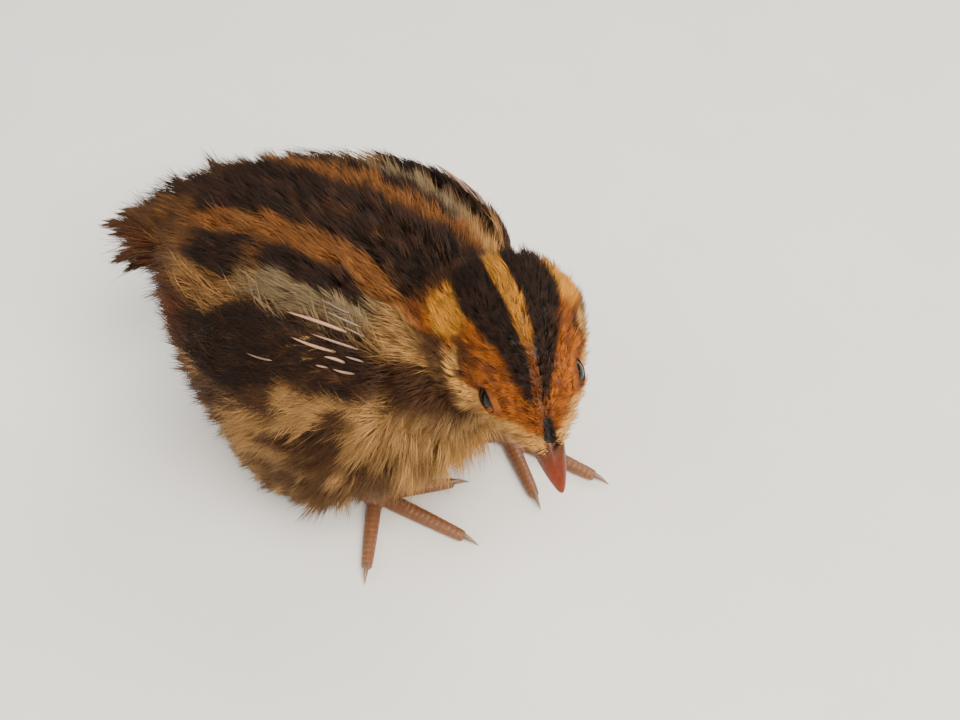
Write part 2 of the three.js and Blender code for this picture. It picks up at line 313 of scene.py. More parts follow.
def melted(name, bm, voxel):
    """A bmesh remeshed into one closed surface of small squares, without the hollows inside it."""
    made = object_of(name, mesh_from(name, bm))
    remesh = made.modifiers.new("remesh", "REMESH")
    remesh.mode, remesh.voxel_size, remesh.use_smooth_shade = "VOXEL", voxel * MM, True
    bm = bmesh.new()
    bm.from_mesh(evaluated(made))
    islands, seen = [], set()
    for start in bm.verts:
        if start in seen:
            continue
        island, edge = [start], [start]
        seen.add(start)
        while edge:
            vert = edge.pop()
            for link in vert.link_edges:
                other = link.other_vert(vert)
                if other not in seen:
                    seen.add(other)
                    island.append(other)
                    edge.append(other)
        islands.append(island)
    islands.sort(key=len)
    spare = [vert for island in islands[:-1] for vert in island]
    bmesh.ops.delete(bm, geom=spare, context="VERTS")
    return mesh_from(name, bm)


def softened(mesh, weights, rounds):
    """A mesh smoothed for some rounds, more where the weights are near 1."""
    made = object_of(mesh.name, mesh)
    group = made.vertex_groups.new(name="soft")
    levels = np.round(np.clip(weights, 0, 1) * 20).astype(int)
    for level in np.unique(levels):
        group.add(np.flatnonzero(levels == level).tolist(), level / 20, "REPLACE")
    smooth = made.modifiers.new("smooth", "SMOOTH")
    smooth.factor, smooth.iterations, smooth.vertex_group = 0.5, rounds, "soft"
    return evaluated(made)


def places_of(mesh):
    """The corners of a mesh in millimetres of the bird's frame."""
    flat = np.empty(3 * len(mesh.vertices))
    mesh.vertices.foreach_get("co", flat)
    return to_bird(flat.reshape(-1, 3))


def normals_of(mesh):
    """The normals at the corners of a mesh."""
    flat = np.empty(3 * len(mesh.vertices), np.float32)
    mesh.vertex_normals.foreach_get("vector", flat)
    return flat.reshape(-1, 3).astype(float)


def move_to(mesh, points):
    """Moves the corners of a mesh to points of the bird's frame."""
    mesh.vertices.foreach_set("co", to_scene(points).ravel())
    mesh.update()


def arm_share(points):
    """1 over the folded arm of a wing, 0 away from it."""
    x, angle = trunk_place(points)
    along = (x / TORSO.front - ARM.forward) / ARM.half_length
    over = (90 - np.abs(angle) - ARM.lift) / ARM.half_lift
    return step(1.15, 0.3, np.hypot(along, over)) * (1 - head_share(points))


def down_depth(points):
    """How far under the tips of the down the skin lies."""
    head = head_share(points)
    near_eye = step(4.6, 2.6, eye_distance(points)) * head
    near_bill = step(6.5, 9.5, to_head(points)[:, 0])
    depth = DEPTH.trunk - DEPTH.head * head - DEPTH.thigh * thigh_share(points) * (1 - head)
    depth = depth - DEPTH.face * np.maximum(near_eye, near_bill) * head
    return depth - DEPTH.arm * arm_share(points)


def hugged(points):
    """Points near an eye drawn in, so that its ball stands out of the skin."""
    q = to_head(points)
    away = eye_distance(points)
    reach = SOCKET.deep + SOCKET.rise * step(SOCKET.inner, SOCKET.outer, away)
    for sign in SIDES.values():
        v = q - eye_middle(sign)
        near = (away < SOCKET.outer) & (v @ eye_axes(sign)[1] > 0) & (q[:, 1] * sign > 0)
        length = np.maximum(np.linalg.norm(v, axis=1), 1e-6)
        drawn_in = eye_middle(sign) + v * (reach / length)[:, None]
        q = np.where((near & (length > reach))[:, None], drawn_in, q)
    return from_head(q)


def calm(points):
    """0 beside an eye, and 1 away from it or off the head."""
    return step(2.6, 4.5, eye_distance(points) + 9 * (1 - head_share(points)))


def make_skin():
    """The whole skin as one mesh."""
    bm = swollen(FLESH, SKIN.swell)
    head_turn = Matrix(HEAD_TURN.tolist()).to_quaternion()
    balls = [
        (TAIL.middle, None, TAIL.half),
        (from_head(MUZZLE.middle), head_turn, MUZZLE.half),
    ]
    for middle, turn, half in balls:
        place = Matrix.LocRotScale(Vector(to_scene(middle)), turn, Vector(half * MM))
        bmesh.ops.create_uvsphere(bm, u_segments=24, v_segments=16, radius=1, matrix=place)
    mesh = melted("skin", bm, SKIN.voxel)
    mesh = softened(mesh, 0.1 + 0.9 * calm(places_of(mesh)), SKIN.rounds)
    share = head_share(places_of(mesh))
    mesh = softened(mesh, step(0, 0.3, share) * step(1, 0.7, share), SKIN.neck_rounds)
    points = places_of(mesh)
    points = points - normals_of(mesh) * (SKIN.swell + down_depth(points))[:, None]
    move_to(mesh, hugged(points))
    return softened(mesh, calm(places_of(mesh)), SKIN.last_rounds)


skin_mesh = make_skin()
print("skin", len(skin_mesh.vertices), "corners")

# %% [markdown]
# The down's colours are those of a wild-coloured chick: soot-brown bands and honey stripes along the
# back, a rufous head with two soot crown stripes and a golden line between them, a cream stripe under
# the eye and a buff breast. They are worked out for a point on the body from the measured places of the
# stripes, so that skin and down always carry the same markings.

# %% Palette
def colour(red, green, blue):
    """A screen colour from 0 to 255, as the light it stands for."""
    c = np.array([red, green, blue]) / 255
    return np.where(c <= 0.04045, c / 12.92, ((c + 0.055) / 1.055) ** 2.4)


SOOT = colour(30, 19, 11)
UMBER = colour(70, 44, 24)
RUFOUS = colour(116, 61, 22)
ORANGE = colour(168, 92, 24)
HONEY = colour(122, 80, 36)
GOLD = colour(208, 142, 46)
BUFF = colour(186, 142, 84)
GREY_BUFF = colour(124, 105, 74)
CREAM = colour(217, 164, 88)


# %% Markings of the trunk
STRIPE_EDGES = {  # degrees from the top of the back; each bend says by how many, from where and to where
    "honey_in": (18, [(7, -8, -18), (8, 3, 12)]),
    "honey_out": (28.5, [(7, -6, -15), (4, 3, 9)]),
    "soot_out": (39, [(9, -5, -7)]),
    "wing_top": (49, [(11, -2, -9), (-3, 6, 12)]),
    "wing_low": (78, [(-9, -2, 5)]),
}
FLANK_PATCHES = [  # forward, degrees from the top, half size, and how dark
    (2, 76, 2.4, 1), (10, 77, 2, 1), (7.5, 90, 2.6, 1), (-4, 86, 2.2, 0.8), (3, 98, 2.4, 0.8),
    (6, 76, 2.6, -1), (8, 70, 2, -0.8), (1, 88, 2.6, -0.8), (-3, 97, 2.8, -0.8), (12, 88, 3, -1),
]


def stripe_edge(name, x):
    """The angle at which a stripe ends, for places along the trunk."""
    angle, bends = STRIPE_EDGES[name]
    for by, start, end in bends:
        angle = angle + by * step(start, end, x)
    return angle


def trunk_colour(points):
    """The colour of the down at points of the trunk."""
    x, angle = trunk_place(points)
    x = x + 0.7 * lumps(points, 3, 1)
    inward = 7 * step(-12, -6, x) * step(12, 6, x) * (angle > 0)
    a = np.abs(angle) + inward * step(60, 30, np.abs(angle)) + 2.2 * lumps(points, 3, 2)
    speckle = lumps(points, 1.6, 3)
    patch = lumps(points * [0.7, 1, 1], 3.2, 4)
    honey_in, honey_out, soot_out, wing_top, wing_low = (stripe_edge(name, x) for name in STRIPE_EDGES)
    dark = patch + 0.6 * speckle
    for forward, down, size, share in FLANK_PATCHES:
        dark = dark + share * step(1.2, 0.6, np.hypot(x - forward, (a - down) * 0.33) / size)
    flank = mixed(mixed(BUFF, HONEY, 0.25), UMBER, step(0.0, 0.5, dark + 0.45 * step(0, -7, x)))
    breast = mixed(BUFF, UMBER, 0.6 * step(0, 0.6, patch + 0.3 * speckle))
    # Rufous down on the lower rear, mixed towards soot as painted shade.
    behind = mixed(RUFOUS, SOOT, 0.35 + 0.4 * step(-0.3, 0.4, patch))
    on_wing = step(wing_top - 1, wing_top + 2, a) * step(wing_low + 2, wing_low - 3, a)
    mottled = mixed(HONEY, mixed(BUFF, UMBER, step(0.1, 0.5, patch)), 0.3)
    pale = mixed(GREY_BUFF, mottled, np.maximum(step(-3, -8, x), step(47, 51, a)))
    on_soot = between(honey_out, soot_out, 1, a)
    broken = step(-15, -12.5, x) * step(9.5, 7.5, x) * (1 - 0.6 * step(0.9, 0.2, np.abs(x + 5.6)))
    edge = np.maximum(honey_in, 28 + 2.4 * (x - 11))
    collar = step(8, 11, x) * step(edge - 2, edge + 2, a) * step(54, 46, a)
    nape = np.maximum(step(48, 52, a) * step(68, 62, a), step(16, 17.2, x) * between(35, 52, 2, a))
    # Low on the rump it turns into the rufous with painted shade.
    rump = mixed(mixed(UMBER, HONEY, 0.25 + 0.5 * step(-0.4, 0.5, patch)), behind, step(56, 66, a))
    return layered(UMBER, [
        (flank, step(wing_low - 3, wing_low + 3, a)),
        (breast, step(10, 15, x) * step(62, 76, a)),
        (mixed(CREAM, BUFF, 0.5), step(112, 135, a)),
        # The rufous with painted shade, on the lower rear of the trunk.
        (behind, step(-9, -13, x) * step(58, 66, a) * step(105, 90, a)),
        (mixed(SOOT, UMBER, step(0.1, 0.7, speckle)), on_wing * step(-13, -9, x) * step(14.5, 10.5, x)),
        (pale, between(soot_out, wing_top, 1, a)),
        (mixed(GREY_BUFF, mixed(UMBER, HONEY, 0.7), step(1, -3, x)), on_soot),
        (SOOT, on_soot * broken),
        (mixed(BUFF, HONEY, 0.4), collar),
        (UMBER, 0.9 * nape * step(13.5, 15, x)),
        (mixed(HONEY, RUFOUS, 0.35 + 0.35 * speckle), between(honey_in, honey_out, 1, a)),
        (mixed(SOOT, UMBER, step(0, 0.8, speckle)), step(honey_in + 1, honey_in - 1, a)),
        (mixed(rump, SOOT, 0.8 * step(22, 12, a)), step(-15, -18, x)),
    ])


# %% Markings of the head
CROWN_MIDDLE = ([-8, -2.5, 2, 6.6], [-0.25, 0.3, 0.35, -0.2])
CROWN_IN = ([-8, -1, 2, 6.6], [0.85, 0.7, 0.4, 0.3])
CROWN_OUT = ([-9, -7, -5, -3, 0.4, 2.4, 4.2, 5.9, 6.8], [3.6, 4.5, 4.8, 4.6, 3.3, 2.6, 2.0, 1.3, 0.8])
CHEEK_LINE = ([-9, -6, -4, -2.5, -1.3, -0.1, 1.7, 3.4, 5.8, 7, 8, 9.4, 10.5],
              [-4, -2, 0.6, 2.1, 2.7, 2.1, 0.9, 0.3, 0.4, 0.9, 0.9, 0.3, -0.5])
GOLD_CORNER = np.array([-5.2, 6.2, 3.3])


def gold_corner(places, jitter):
    """The share of gold at places of the head's frame, in the corner behind its side."""
    near = step(3.7, 2.5, np.linalg.norm(places - GOLD_CORNER, axis=1) + 0.5 * jitter)
    return near * step(8.6, 7.2, places[:, 1])


def head_colour(points):
    """The colour of the down at points of the head."""
    q = to_head(points)
    x = q[:, 0] + 0.35 * lumps(points, 1.8, 5)
    y = np.abs(q[:, 1] - np.interp(x, *CROWN_MIDDLE)) + 0.2 * lumps(points, 1.5, 6)
    z = q[:, 2]
    speckle = lumps(points, 1.1, 7)
    side = np.interp(x, *CHEEK_LINE) - z
    temple = step(6.9, 7.8, y) * step(6, 4, x) * np.where(q[:, 1] < 0, 1, 0.5)
    behind = np.maximum(step(1.5, -1.5, x) * step(0.8, 1.8, side), temple)
    cream_line = step(0.9, 0.4, np.abs(side - 0.1)) * step(-1.8, -0.4, x) * step(8.4, 7.4, y)
    dark_line = step(0.9, 0.4, np.abs(side + 1.15)) * step(-2.5, -1.0, x) * step(2.4, 1.4, x)
    ear = step(1.7, 0.9, np.hypot(x + 2.6, z - 1.4)) * step(3, 4, y)
    inner, outer = np.interp(x, *CROWN_IN), np.interp(x, *CROWN_OUT)
    top = step(-1.5, 1, z) * step(7.0, 6.3, x)
    crown = step(inner - 0.2, inner + 0.2, y) * step(outer + 0.35, outer - 0.35, y) * top
    tear = step(1.05, 0.8, np.hypot((q[:, 0] - 9.7) / 1.8, (q[:, 1] - 0.3) / 0.75)) * step(-1.6, -0.8, z)
    return layered(mixed(ORANGE, RUFOUS, step(-0.4, 0.6, speckle)), [
        (UMBER, step(-6.5, -8.5, x)),
        (mixed(mixed(BUFF, CREAM, 0.3), UMBER, 0.85 * behind), step(0, 0.7, side)),
        (CREAM, cream_line),
        (UMBER, 0.85 * dark_line),
        (UMBER, 0.8 * ear),
        (GOLD, gold_corner(np.stack([x, y, z], 1), speckle)),
        (SOOT, crown),
        (mixed(mixed(GOLD, HONEY, 0.3), RUFOUS, step(-2, 3, x)), step(inner + 0.2, inner - 0.2, y) * top),
        (SOOT, tear),
    ])


def coat_colour(points):
    """The colour of the down anywhere on the bird."""
    q = to_head(points)
    q[:, 1] = np.abs(q[:, 1])
    head = head_share(points)
    below = step(60, 80, np.abs(trunk_place(points)[1]))
    leg = mixed(UMBER, BUFF, step(0.0, 0.7, lumps(points, 2.4, 8)))
    return layered(trunk_colour(points), [
        (GOLD, gold_corner(q, lumps(points, 1.5, 9)) * (head < 1)),
        (head_colour(points), head),
        (leg, 0.8 * thigh_share(points) * below),
    ])


# %% [markdown]
# The finishes are made of shader nodes. A small class wraps a socket, so that the maths on what varies
# over a surface is written as a plain expression, and one method makes every other node.

# %% Shader tools
def operator(name, swapped=False):
    """An operator that adds the Math node of that name, with its terms swapped for a reflected form."""
    def method(self, other):
        terms = (other, self) if swapped else (self, other)
        return self.finish.maths(name, *terms)

    return method


class Value:
    """A socket of a finish. Operators on it add the Math nodes that they stand for."""

    def __init__(self, finish, socket):
        self.finish, self.socket = finish, socket

    __add__ = __radd__ = operator("ADD")
    __mul__ = __rmul__ = operator("MULTIPLY")
    __sub__, __rsub__ = operator("SUBTRACT"), operator("SUBTRACT", swapped=True)
    __pow__, __rpow__ = operator("POWER"), operator("POWER", swapped=True)

    def clamped(self):
        """The same, held between 0 and 1."""
        return self.finish.maths("MINIMUM", self.finish.maths("MAXIMUM", self, 0), 1)


class Finish:
    """A material and the nodes that colour it."""

    def __init__(self, name, **constants):
        self.material = bpy.data.materials.new(name)
        self.material.use_nodes = True
        self.tree = self.material.node_tree
        self.shader = self.tree.nodes["Principled BSDF"]
        for socket, value in constants.items():
            self.shader.inputs[socket.replace("_", " ")].default_value = value

    def node(self, kind, settings=None, values=None, output=0):
        """Adds a node: its settings first, then the numbers or links of its sockets."""
        node = self.tree.nodes.new(kind)
        for name, setting in (settings or {}).items():
            if name == "stops":
                self.ramp(node, setting)
            else:
                setattr(node, name, setting)
        for key, value in (values or {}).items():
            self.plug(node.inputs[key], value)
        return Value(self, node.outputs[output])

    def ramp(self, node, stops):
        """Sets the stops of a colour ramp, each a place and a screen colour."""
        elements = node.color_ramp.elements
        while len(elements) < len(stops):
            elements.new(0.5)
        for element, (place, shade) in zip(elements, stops):
            element.position, element.color = place, (*colour(*shade), 1)

    def plug(self, socket, value):
        """Links a Value to a socket, or sets the socket's own number or colour."""
        if isinstance(value, Value):
            self.tree.links.new(value.socket, socket)
        else:
            socket.default_value = value

    def feed(self, socket, value):
        """Plugs a value into the shader itself."""
        self.plug(self.shader.inputs[socket], value)

    def maths(self, operation, *terms):
        """A Math node on numbers and Values."""
        return self.node("ShaderNodeMath", dict(operation=operation), dict(enumerate(terms)))

    def attribute(self, name, output="Fac"):
        """An attribute of the mesh, as a number or as a colour."""
        return self.node("ShaderNodeAttribute", dict(attribute_name=name), output=output)

    def texture(self, kind, scale, settings=None, **values):
        """A texture on the place on the surface, in metres."""
        place = self.node("ShaderNodeTexCoord", output="Object")
        return self.node(kind, settings, {"Vector": place, "Scale": scale, **values})

    def grain(self, scale, detail=3.0):
        """Noise from 0 to 1 with that many lumps a metre."""
        return self.texture("ShaderNodeTexNoise", scale, Detail=detail)

    def cells(self, scale):
        """Distance to the edges of small cells."""
        return self.texture("ShaderNodeTexVoronoi", scale, dict(feature="DISTANCE_TO_EDGE"))

    def blend(self, a, b, share):
        """Two colours mixed by a share, through a Mix node."""
        a, b = (shade if isinstance(shade, Value) else (*shade, 1) for shade in (a, b))
        return self.node("ShaderNodeMix", dict(data_type="RGBA"), {0: share, 6: a, 7: b}, output=2)

    def bright(self, shade, by):
        """A colour made brighter or darker by a Value or a number."""
        return self.node("ShaderNodeVectorMath", dict(operation="SCALE"), {0: shade, "Scale": by})

    def shape(self, height, strength, distance):
        """Feeds a height through a Bump node to the Normal."""
        values = {"Strength": strength, "Distance": distance * MM, "Height": height}
        self.feed("Normal", self.node("ShaderNodeBump", {}, values))


# %% Finish of the down
def down_finish():
    """Down takes its marking from its root, is darker at the root and warmer at the tip."""
    finish = Finish("down", Roughness=0.6, Specular_IOR_Level=0.22)
    along, luck = finish.attribute("along"), finish.attribute("luck")
    tip = finish.blend(finish.attribute("marking", "Color"), RUFOUS, along ** 3 * luck * 0.3)
    finish.feed("Base Color", finish.bright(tip, along * 0.5 + luck * 0.5 + 0.42))
    return finish.material


def skin_finish():
    """The skin under the down: the same markings, dulled and finely pored."""
    finish = Finish("skin", Roughness=0.7)
    paint = finish.attribute("marking", "Color")
    pores = finish.grain(2600)
    finish.feed("Base Color", finish.bright(paint, pores * 0.4 + 0.3))
    finish.shape(pores, 0.4, 0.15)
    return finish.material


DOWN = down_finish()


def set_colours(mesh, name, colours):
    """A colour at each corner of a mesh."""
    opaque = np.hstack([colours, np.ones((len(colours), 1))]).astype(np.float32)
    mesh.attributes.new(name, "FLOAT_COLOR", "POINT").data.foreach_set("color", opaque.ravel())


def set_numbers(mesh, name, numbers):
    """A number at each corner of a mesh."""
    layer = mesh.attributes.new(name, "FLOAT", "POINT")
    layer.data.foreach_set("value", np.asarray(numbers, np.float32).ravel())


def dressed(name, mesh, material, replaces=()):
    """A mesh as a finished piece: with its material, parented to the root, and with the solids that it
    replaces hidden.
    """
    piece = object_of(name, mesh)
    mesh.materials.append(material)
    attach(piece, "root")
    if replaces:
        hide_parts(*replaces)
    return piece


SKIN_NODES = ["torso", "head", "neck", "tail", "thigh_right", "thigh_left"]
set_colours(skin_mesh, "marking", coat_colour(places_of(skin_mesh)))
dressed("skin", skin_mesh, skin_finish(), SKIN_NODES)

# %% [markdown]
# Down, sheaths and young feathers are all closed bodies along a line, wide or thin, that end in a
# point. One function builds any number of them at once from arrays: rings of a few corners along each
# line, a closed root and a tip. Each body also gets a small patch of the map for baked colours, at its
# root's place on an unwrap of the body.

# %% Strands
PATCH = 0.003
MARGIN = 0.01
FLOOR_GAP = 0.04


def unwrapped(points):
    """A place between 0 and 1 on a flat map of the skin: round the part and along it."""
    head = head_share(points) > 0.5
    q = to_head(points)
    x, angle = trunk_place(points)
    height = np.hypot(points[:, 1] - TORSO.middle[1], points[:, 2] - TORSO.middle[2])
    head_along = np.arctan2(q[:, 0], np.hypot(q[:, 1], q[:, 2])) / math.pi
    u = np.where(head, np.arctan2(q[:, 1], q[:, 2]) / (2 * math.pi), angle / 360)
    v = np.where(head, head_along, np.arctan2(x, height) / math.pi)
    return MARGIN + (1 - 3 * MARGIN) * (np.stack([u, v], 1) + 0.5)


def strand_faces(rings, corners):
    """The triangles of one strand, and where each of their corners lies in its patch of the map."""
    faces, spots = [], []
    last = rings * corners

    def corner(ring, i):
        return ring * corners + i % corners

    def spot(ring, i):
        return (i / corners, ring / rings)

    for i in range(corners):
        for ring in range(rings - 1):
            a, b = (ring, i), (ring, i + 1)
            c, d = (ring + 1, i + 1), (ring + 1, i)
            faces += [[corner(*a), corner(*b), corner(*c)], [corner(*a), corner(*c), corner(*d)]]
            spots += [[spot(*a), spot(*b), spot(*c)], [spot(*a), spot(*c), spot(*d)]]
        faces.append([corner(rings - 1, i), corner(rings - 1, i + 1), last])
        spots.append([spot(rings - 1, i), spot(rings - 1, i + 1), ((i + 0.5) / corners, 1)])
    for i in range(1, corners - 1):
        faces.append([0, i + 1, i])
        spots.append([spot(0, 0), spot(0, i + 1), spot(0, i)])
    return np.array(faces), np.array(spots)


def strand_mesh(name, line, side, wide, corners, roots, paint, luck, flat=1):
    """Closed strands along lines of shape (strands, places, 3); the last place is the tip."""
    thick = flat * wide
    count, places, _ = line.shape
    rings = places - 1
    way = unit(np.gradient(line, axis=1))[:, :-1]
    side = unit(side[:, None] - (side[:, None] * way).sum(-1, keepdims=True) * way)
    over = np.cross(way, side)
    turn = 2 * math.pi * np.arange(corners) / corners
    ring = line[:, :-1, None] + (wide[..., None, None] * np.cos(turn)[:, None]) * side[:, :, None]
    ring = ring + (thick[..., None, None] * np.sin(turn)[:, None]) * over[:, :, None]
    verts = np.concatenate([ring.reshape(count, rings * corners, 3), line[:, -1:]], 1)
    verts[..., 2] = np.maximum(verts[..., 2], FLOOR_GAP)
    faces, spots = strand_faces(rings, corners)
    size = verts.shape[1]
    index = (faces[None] + size * np.arange(count)[:, None, None]).reshape(-1)
    mesh = bpy.data.meshes.new(name)
    mesh.vertices.add(count * size)
    mesh.vertices.foreach_set("co", to_scene(verts.reshape(-1, 3)).astype(np.float32).ravel())
    mesh.loops.add(len(index))
    mesh.loops.foreach_set("vertex_index", index.astype(np.int32))
    mesh.polygons.add(len(index) // 3)
    mesh.polygons.foreach_set("loop_start", np.arange(0, len(index), 3, dtype=np.int32))
    mesh.polygons.foreach_set("use_smooth", np.ones(len(index) // 3, bool))
    mesh.update(calc_edges=True)
    layer = mesh.uv_layers.new(name="OFBake")
    patch = unwrapped(roots)[:, None, None] + PATCH * spots[None]
    layer.data.foreach_set("uv", patch.astype(np.float32).ravel())
    share = np.append(np.repeat(np.arange(rings) / rings, corners), 1)
    set_colours(mesh, "marking", np.repeat(paint, size, 0))
    set_numbers(mesh, "along", np.tile(share, count))
    set_numbers(mesh, "luck", np.repeat(luck, size))
    return mesh


# %% [markdown]
# The down is sown over the skin, thickest on the face and crown. Each hair leaves the skin at a slant,
# follows the lie of the coat and leans towards the tip of its own clump, as the barbs of one down
# feather do. The coat is short on the face, long on the back and rump, and kept off the eyes.

# %% Sowing the roots
skin_mesh.calc_loop_triangles()
SKIN_CORNERS = places_of(skin_mesh)
SKIN_NORMALS = normals_of(skin_mesh)
SKIN_FACES = np.empty(3 * len(skin_mesh.loop_triangles), np.int32)
skin_mesh.loop_triangles.foreach_get("vertices", SKIN_FACES)
SKIN_FACES = SKIN_FACES.reshape(-1, 3)


def sown(density):
    """Roots spread over the skin, and the normal at each. The density is in roots per square mm."""
    corners = SKIN_CORNERS[SKIN_FACES]
    edges = corners[:, 1:] - corners[:, :1]
    area = np.linalg.norm(np.cross(edges[:, 0], edges[:, 1]), axis=1) / 2
    share = np.cumsum(area * density(corners.mean(1)))
    count = int(share[-1])
    face = np.searchsorted(share, (np.arange(count) + rng.random(count)) * share[-1] / count)
    face = np.minimum(face, len(share) - 1)
    a, b = rng.random(count), rng.random(count)
    over = a + b > 1
    a[over], b[over] = 1 - a[over], 1 - b[over]
    weight = np.stack([1 - a - b, a, b], 1)[..., None]
    roots = (SKIN_CORNERS[SKIN_FACES[face]] * weight).sum(1)
    normals = unit((SKIN_NORMALS[SKIN_FACES[face]] * weight).sum(1))
    return roots, normals


DENSITY = Sizes(trunk=26, less_below=7, more_on_head=16)
CLUMP_DENSITY = Sizes(trunk=1.1, more_on_head=1.6)


def hair_density(points):
    """Hairs for each square millimetre of skin."""
    head = head_share(points)
    below = step(115, 130, np.abs(trunk_place(points)[1])) * (1 - head)
    density = DENSITY.trunk - DENSITY.less_below * below + DENSITY.more_on_head * head
    bare = step(EYE.bare - 0.1, EYE.bare + 0.15, eye_distance(points) + 9 * (head < 0.5))
    bill = step(12.9, 12.1, to_head(points)[:, 0]) + (head < 0.5)
    return density * bare * np.clip(bill, 0, 1)


def clump_density(points):
    """Clumps for each square millimetre of skin."""
    return CLUMP_DENSITY.trunk + CLUMP_DENSITY.more_on_head * head_share(points)


# %% The lie of the coat
def lie_of(points, normals):
    """The way that the coat lies at each root, along the skin."""
    head = head_share(points)
    q = to_head(points)
    x, angle = trunk_place(points)
    fall = np.where(q[:, 0] < -5, 0.8, 0.25)
    on_head = np.stack([-np.ones(len(q)), 0.12 * np.sign(q[:, 1]), -fall], 1) @ HEAD_TURN.T
    flank = step(30, 90, np.abs(angle)) * step(150, 110, np.abs(angle))
    chest = step(9, 17, x)
    down = -0.45 * flank - 1.1 * chest * flank - 0.3 * thigh_share(points)
    on_trunk = np.stack([-np.ones(len(q)), 0.1 * np.sign(angle) * flank, down], 1)
    lie = mixed(on_trunk, on_head, head)
    return unit(lie - (lie * normals).sum(1, keepdims=True) * normals)


def hair_length(points):
    """The length of the down."""
    head = head_share(points)
    q = to_head(points)
    x, angle = trunk_place(points)
    trunk = 3.9 + 3.4 * step(-15, -25, x) - 0.6 * step(125, 150, np.abs(angle))
    trunk = trunk + 1.9 * step(2, 9, x) * step(88, 112, np.abs(angle)) * step(160, 135, np.abs(angle))
    crown = 1.9 + 0.5 * step(-4, -8, q[:, 0])
    face = np.minimum(step(1.8, 4.6, eye_distance(points)), step(12.0, 7.5, q[:, 0]))
    length = trunk + (crown * (0.52 + 0.48 * face) - trunk) * head
    length = length - 1.3 * thigh_share(points) * (1 - head)
    return length - 1.1 * arm_share(points)


# %% Growing the down
HAIR = Sizes(width=0.066, taper=np.array([1.0, 0.75]), sunk=0.25, lift=34, lift_head=26, pull=0.5)


def grown(roots, normals):
    """Centre lines, sides, widths, colours and luck of the hairs on these roots."""
    count = len(roots)
    head = head_share(roots)
    lie = lie_of(roots, normals)
    length = hair_length(roots) * (0.8 + 0.35 * rng.random(count))
    tree = kdtree.KDTree(len(CLUMPS[0]))
    for i, place in enumerate(CLUMPS[0]):
        tree.insert(place, i)
    tree.balance()
    clump = np.array([tree.find(p)[1] for p in roots])
    own = CLUMP_LUCK[clump]
    turn = 26 * lumps(roots, 6, 11) + 16 * own[:, 0] + 7 * rng.standard_normal(count)
    turn = np.radians(turn)[:, None]
    lie = lie * np.cos(turn) + np.cross(normals, lie) * np.sin(turn)
    slant = HAIR.lift + (HAIR.lift_head - HAIR.lift) * head + 9 * own[:, 1]
    slant = np.radians(np.clip(slant + 6 * rng.standard_normal(count), 8, 75))
    length = length * (1 + 0.14 * own[:, 2])
    out, flat = np.sin(slant) * length, np.cos(slant) * length
    reach = lie * flat[:, None] + normals * out[:, None]
    lean = HAIR.pull * (CLUMPS[0][clump] - roots - 0.1 * reach)
    line = []
    for t in (0, 0.5, 1):
        along = flat * t * (0.8 + 0.2 * t)
        up = out * t * (1.3 - 0.3 * t) - HAIR.sunk * (1 - t)
        line.append(roots + lie * along[:, None] + normals * up[:, None] + lean * t ** 2)
    side = unit(np.cross(normals, lie) + 0.3 * rng.standard_normal((count, 3)))
    radius = HAIR.width * (1 - 0.3 * head) * (0.8 + 0.4 * rng.random(count))
    paint = coat_colour(roots + lie * (0.5 * flat)[:, None])
    luck = np.clip(0.5 + 0.22 * own[:, 3] + 0.16 * rng.standard_normal(count), 0, 1)
    return np.stack(line, 1), side, radius[:, None] * HAIR.taper, paint, luck


# %% Coat pieces
LARGEST_PIECE = 19000


def coat_part(points):
    """The name of the coat piece that a root belongs to."""
    head = head_share(points)
    x, angle = trunk_place(points)
    q = to_head(points)
    part = np.where(np.abs(angle) < 48, "back", np.where(angle < 0, "flank_right", "flank_left"))
    part = np.where(np.abs(angle) > 122, "belly", part)
    part = np.where((x > 10) & (np.abs(angle) > 62), "breast", part)
    part = np.where(x < -17, "rump", part)
    part = np.where(head > 0.05, "neck", part)
    return np.where(head > 0.8, np.where(q[:, 2] > 1.5, "crown", "face"), part)


CLUMPS = sown(clump_density)
CLUMP_LUCK = rng.standard_normal((len(CLUMPS[0]), 4)).clip(-2, 2)
roots, normals = sown(hair_density)
line, side, wide, paint, luck = grown(roots, normals)
parts = coat_part(roots)
total = 0
for part in np.unique(parts):
    chosen = np.flatnonzero(parts == part)
    chosen = chosen[np.argsort(roots[chosen, 0], kind="stable")]
    pieces = math.ceil(len(chosen) / LARGEST_PIECE)
    for number, some in enumerate(np.array_split(chosen, pieces)):
        name = f"down_{part}" + (f"_{number + 1}" if pieces > 1 else "")
        shape = (line[some], side[some], wide[some])
        mesh = strand_mesh(name, *shape, 3, roots[some], paint[some], luck[some])
        dressed(name, mesh, DOWN)
        total += len(mesh.polygons)
        print(name, len(some), "hairs")
print("down", total, "triangles")

# %% [markdown]
# The eye of a chick is round and dark, with a wet cornea that bulges over the pupil. It is a ball made
# finer than the solid's, with the iris and pupil painted by the angle from the way it looks.

# %% Eyes
IRIS = [  # places from the middle of the pupil outwards, and the colours there
    (0.0, (6, 5, 5)), (0.36, (8, 6, 5)), (0.42, (52, 33, 18)), (0.62, (64, 42, 24)),
    (0.72, (18, 12, 9)), (1.0, (30, 22, 18)),
]
CORNEA = Sizes(angle=0.42, bulge=0.05, ball=0.99, rim=1.1)


def eye_finish():
    """A wet ball with a dark pupil in a brown iris."""
    finish = Finish("eye", Roughness=0.15, Specular_IOR_Level=0.2)
    iris = finish.node("ShaderNodeValToRGB", dict(stops=IRIS), {0: finish.attribute("gaze")})
    finish.feed("Base Color", finish.bright(iris, finish.grain(9000) * 0.6 + 0.7))
    return finish.material


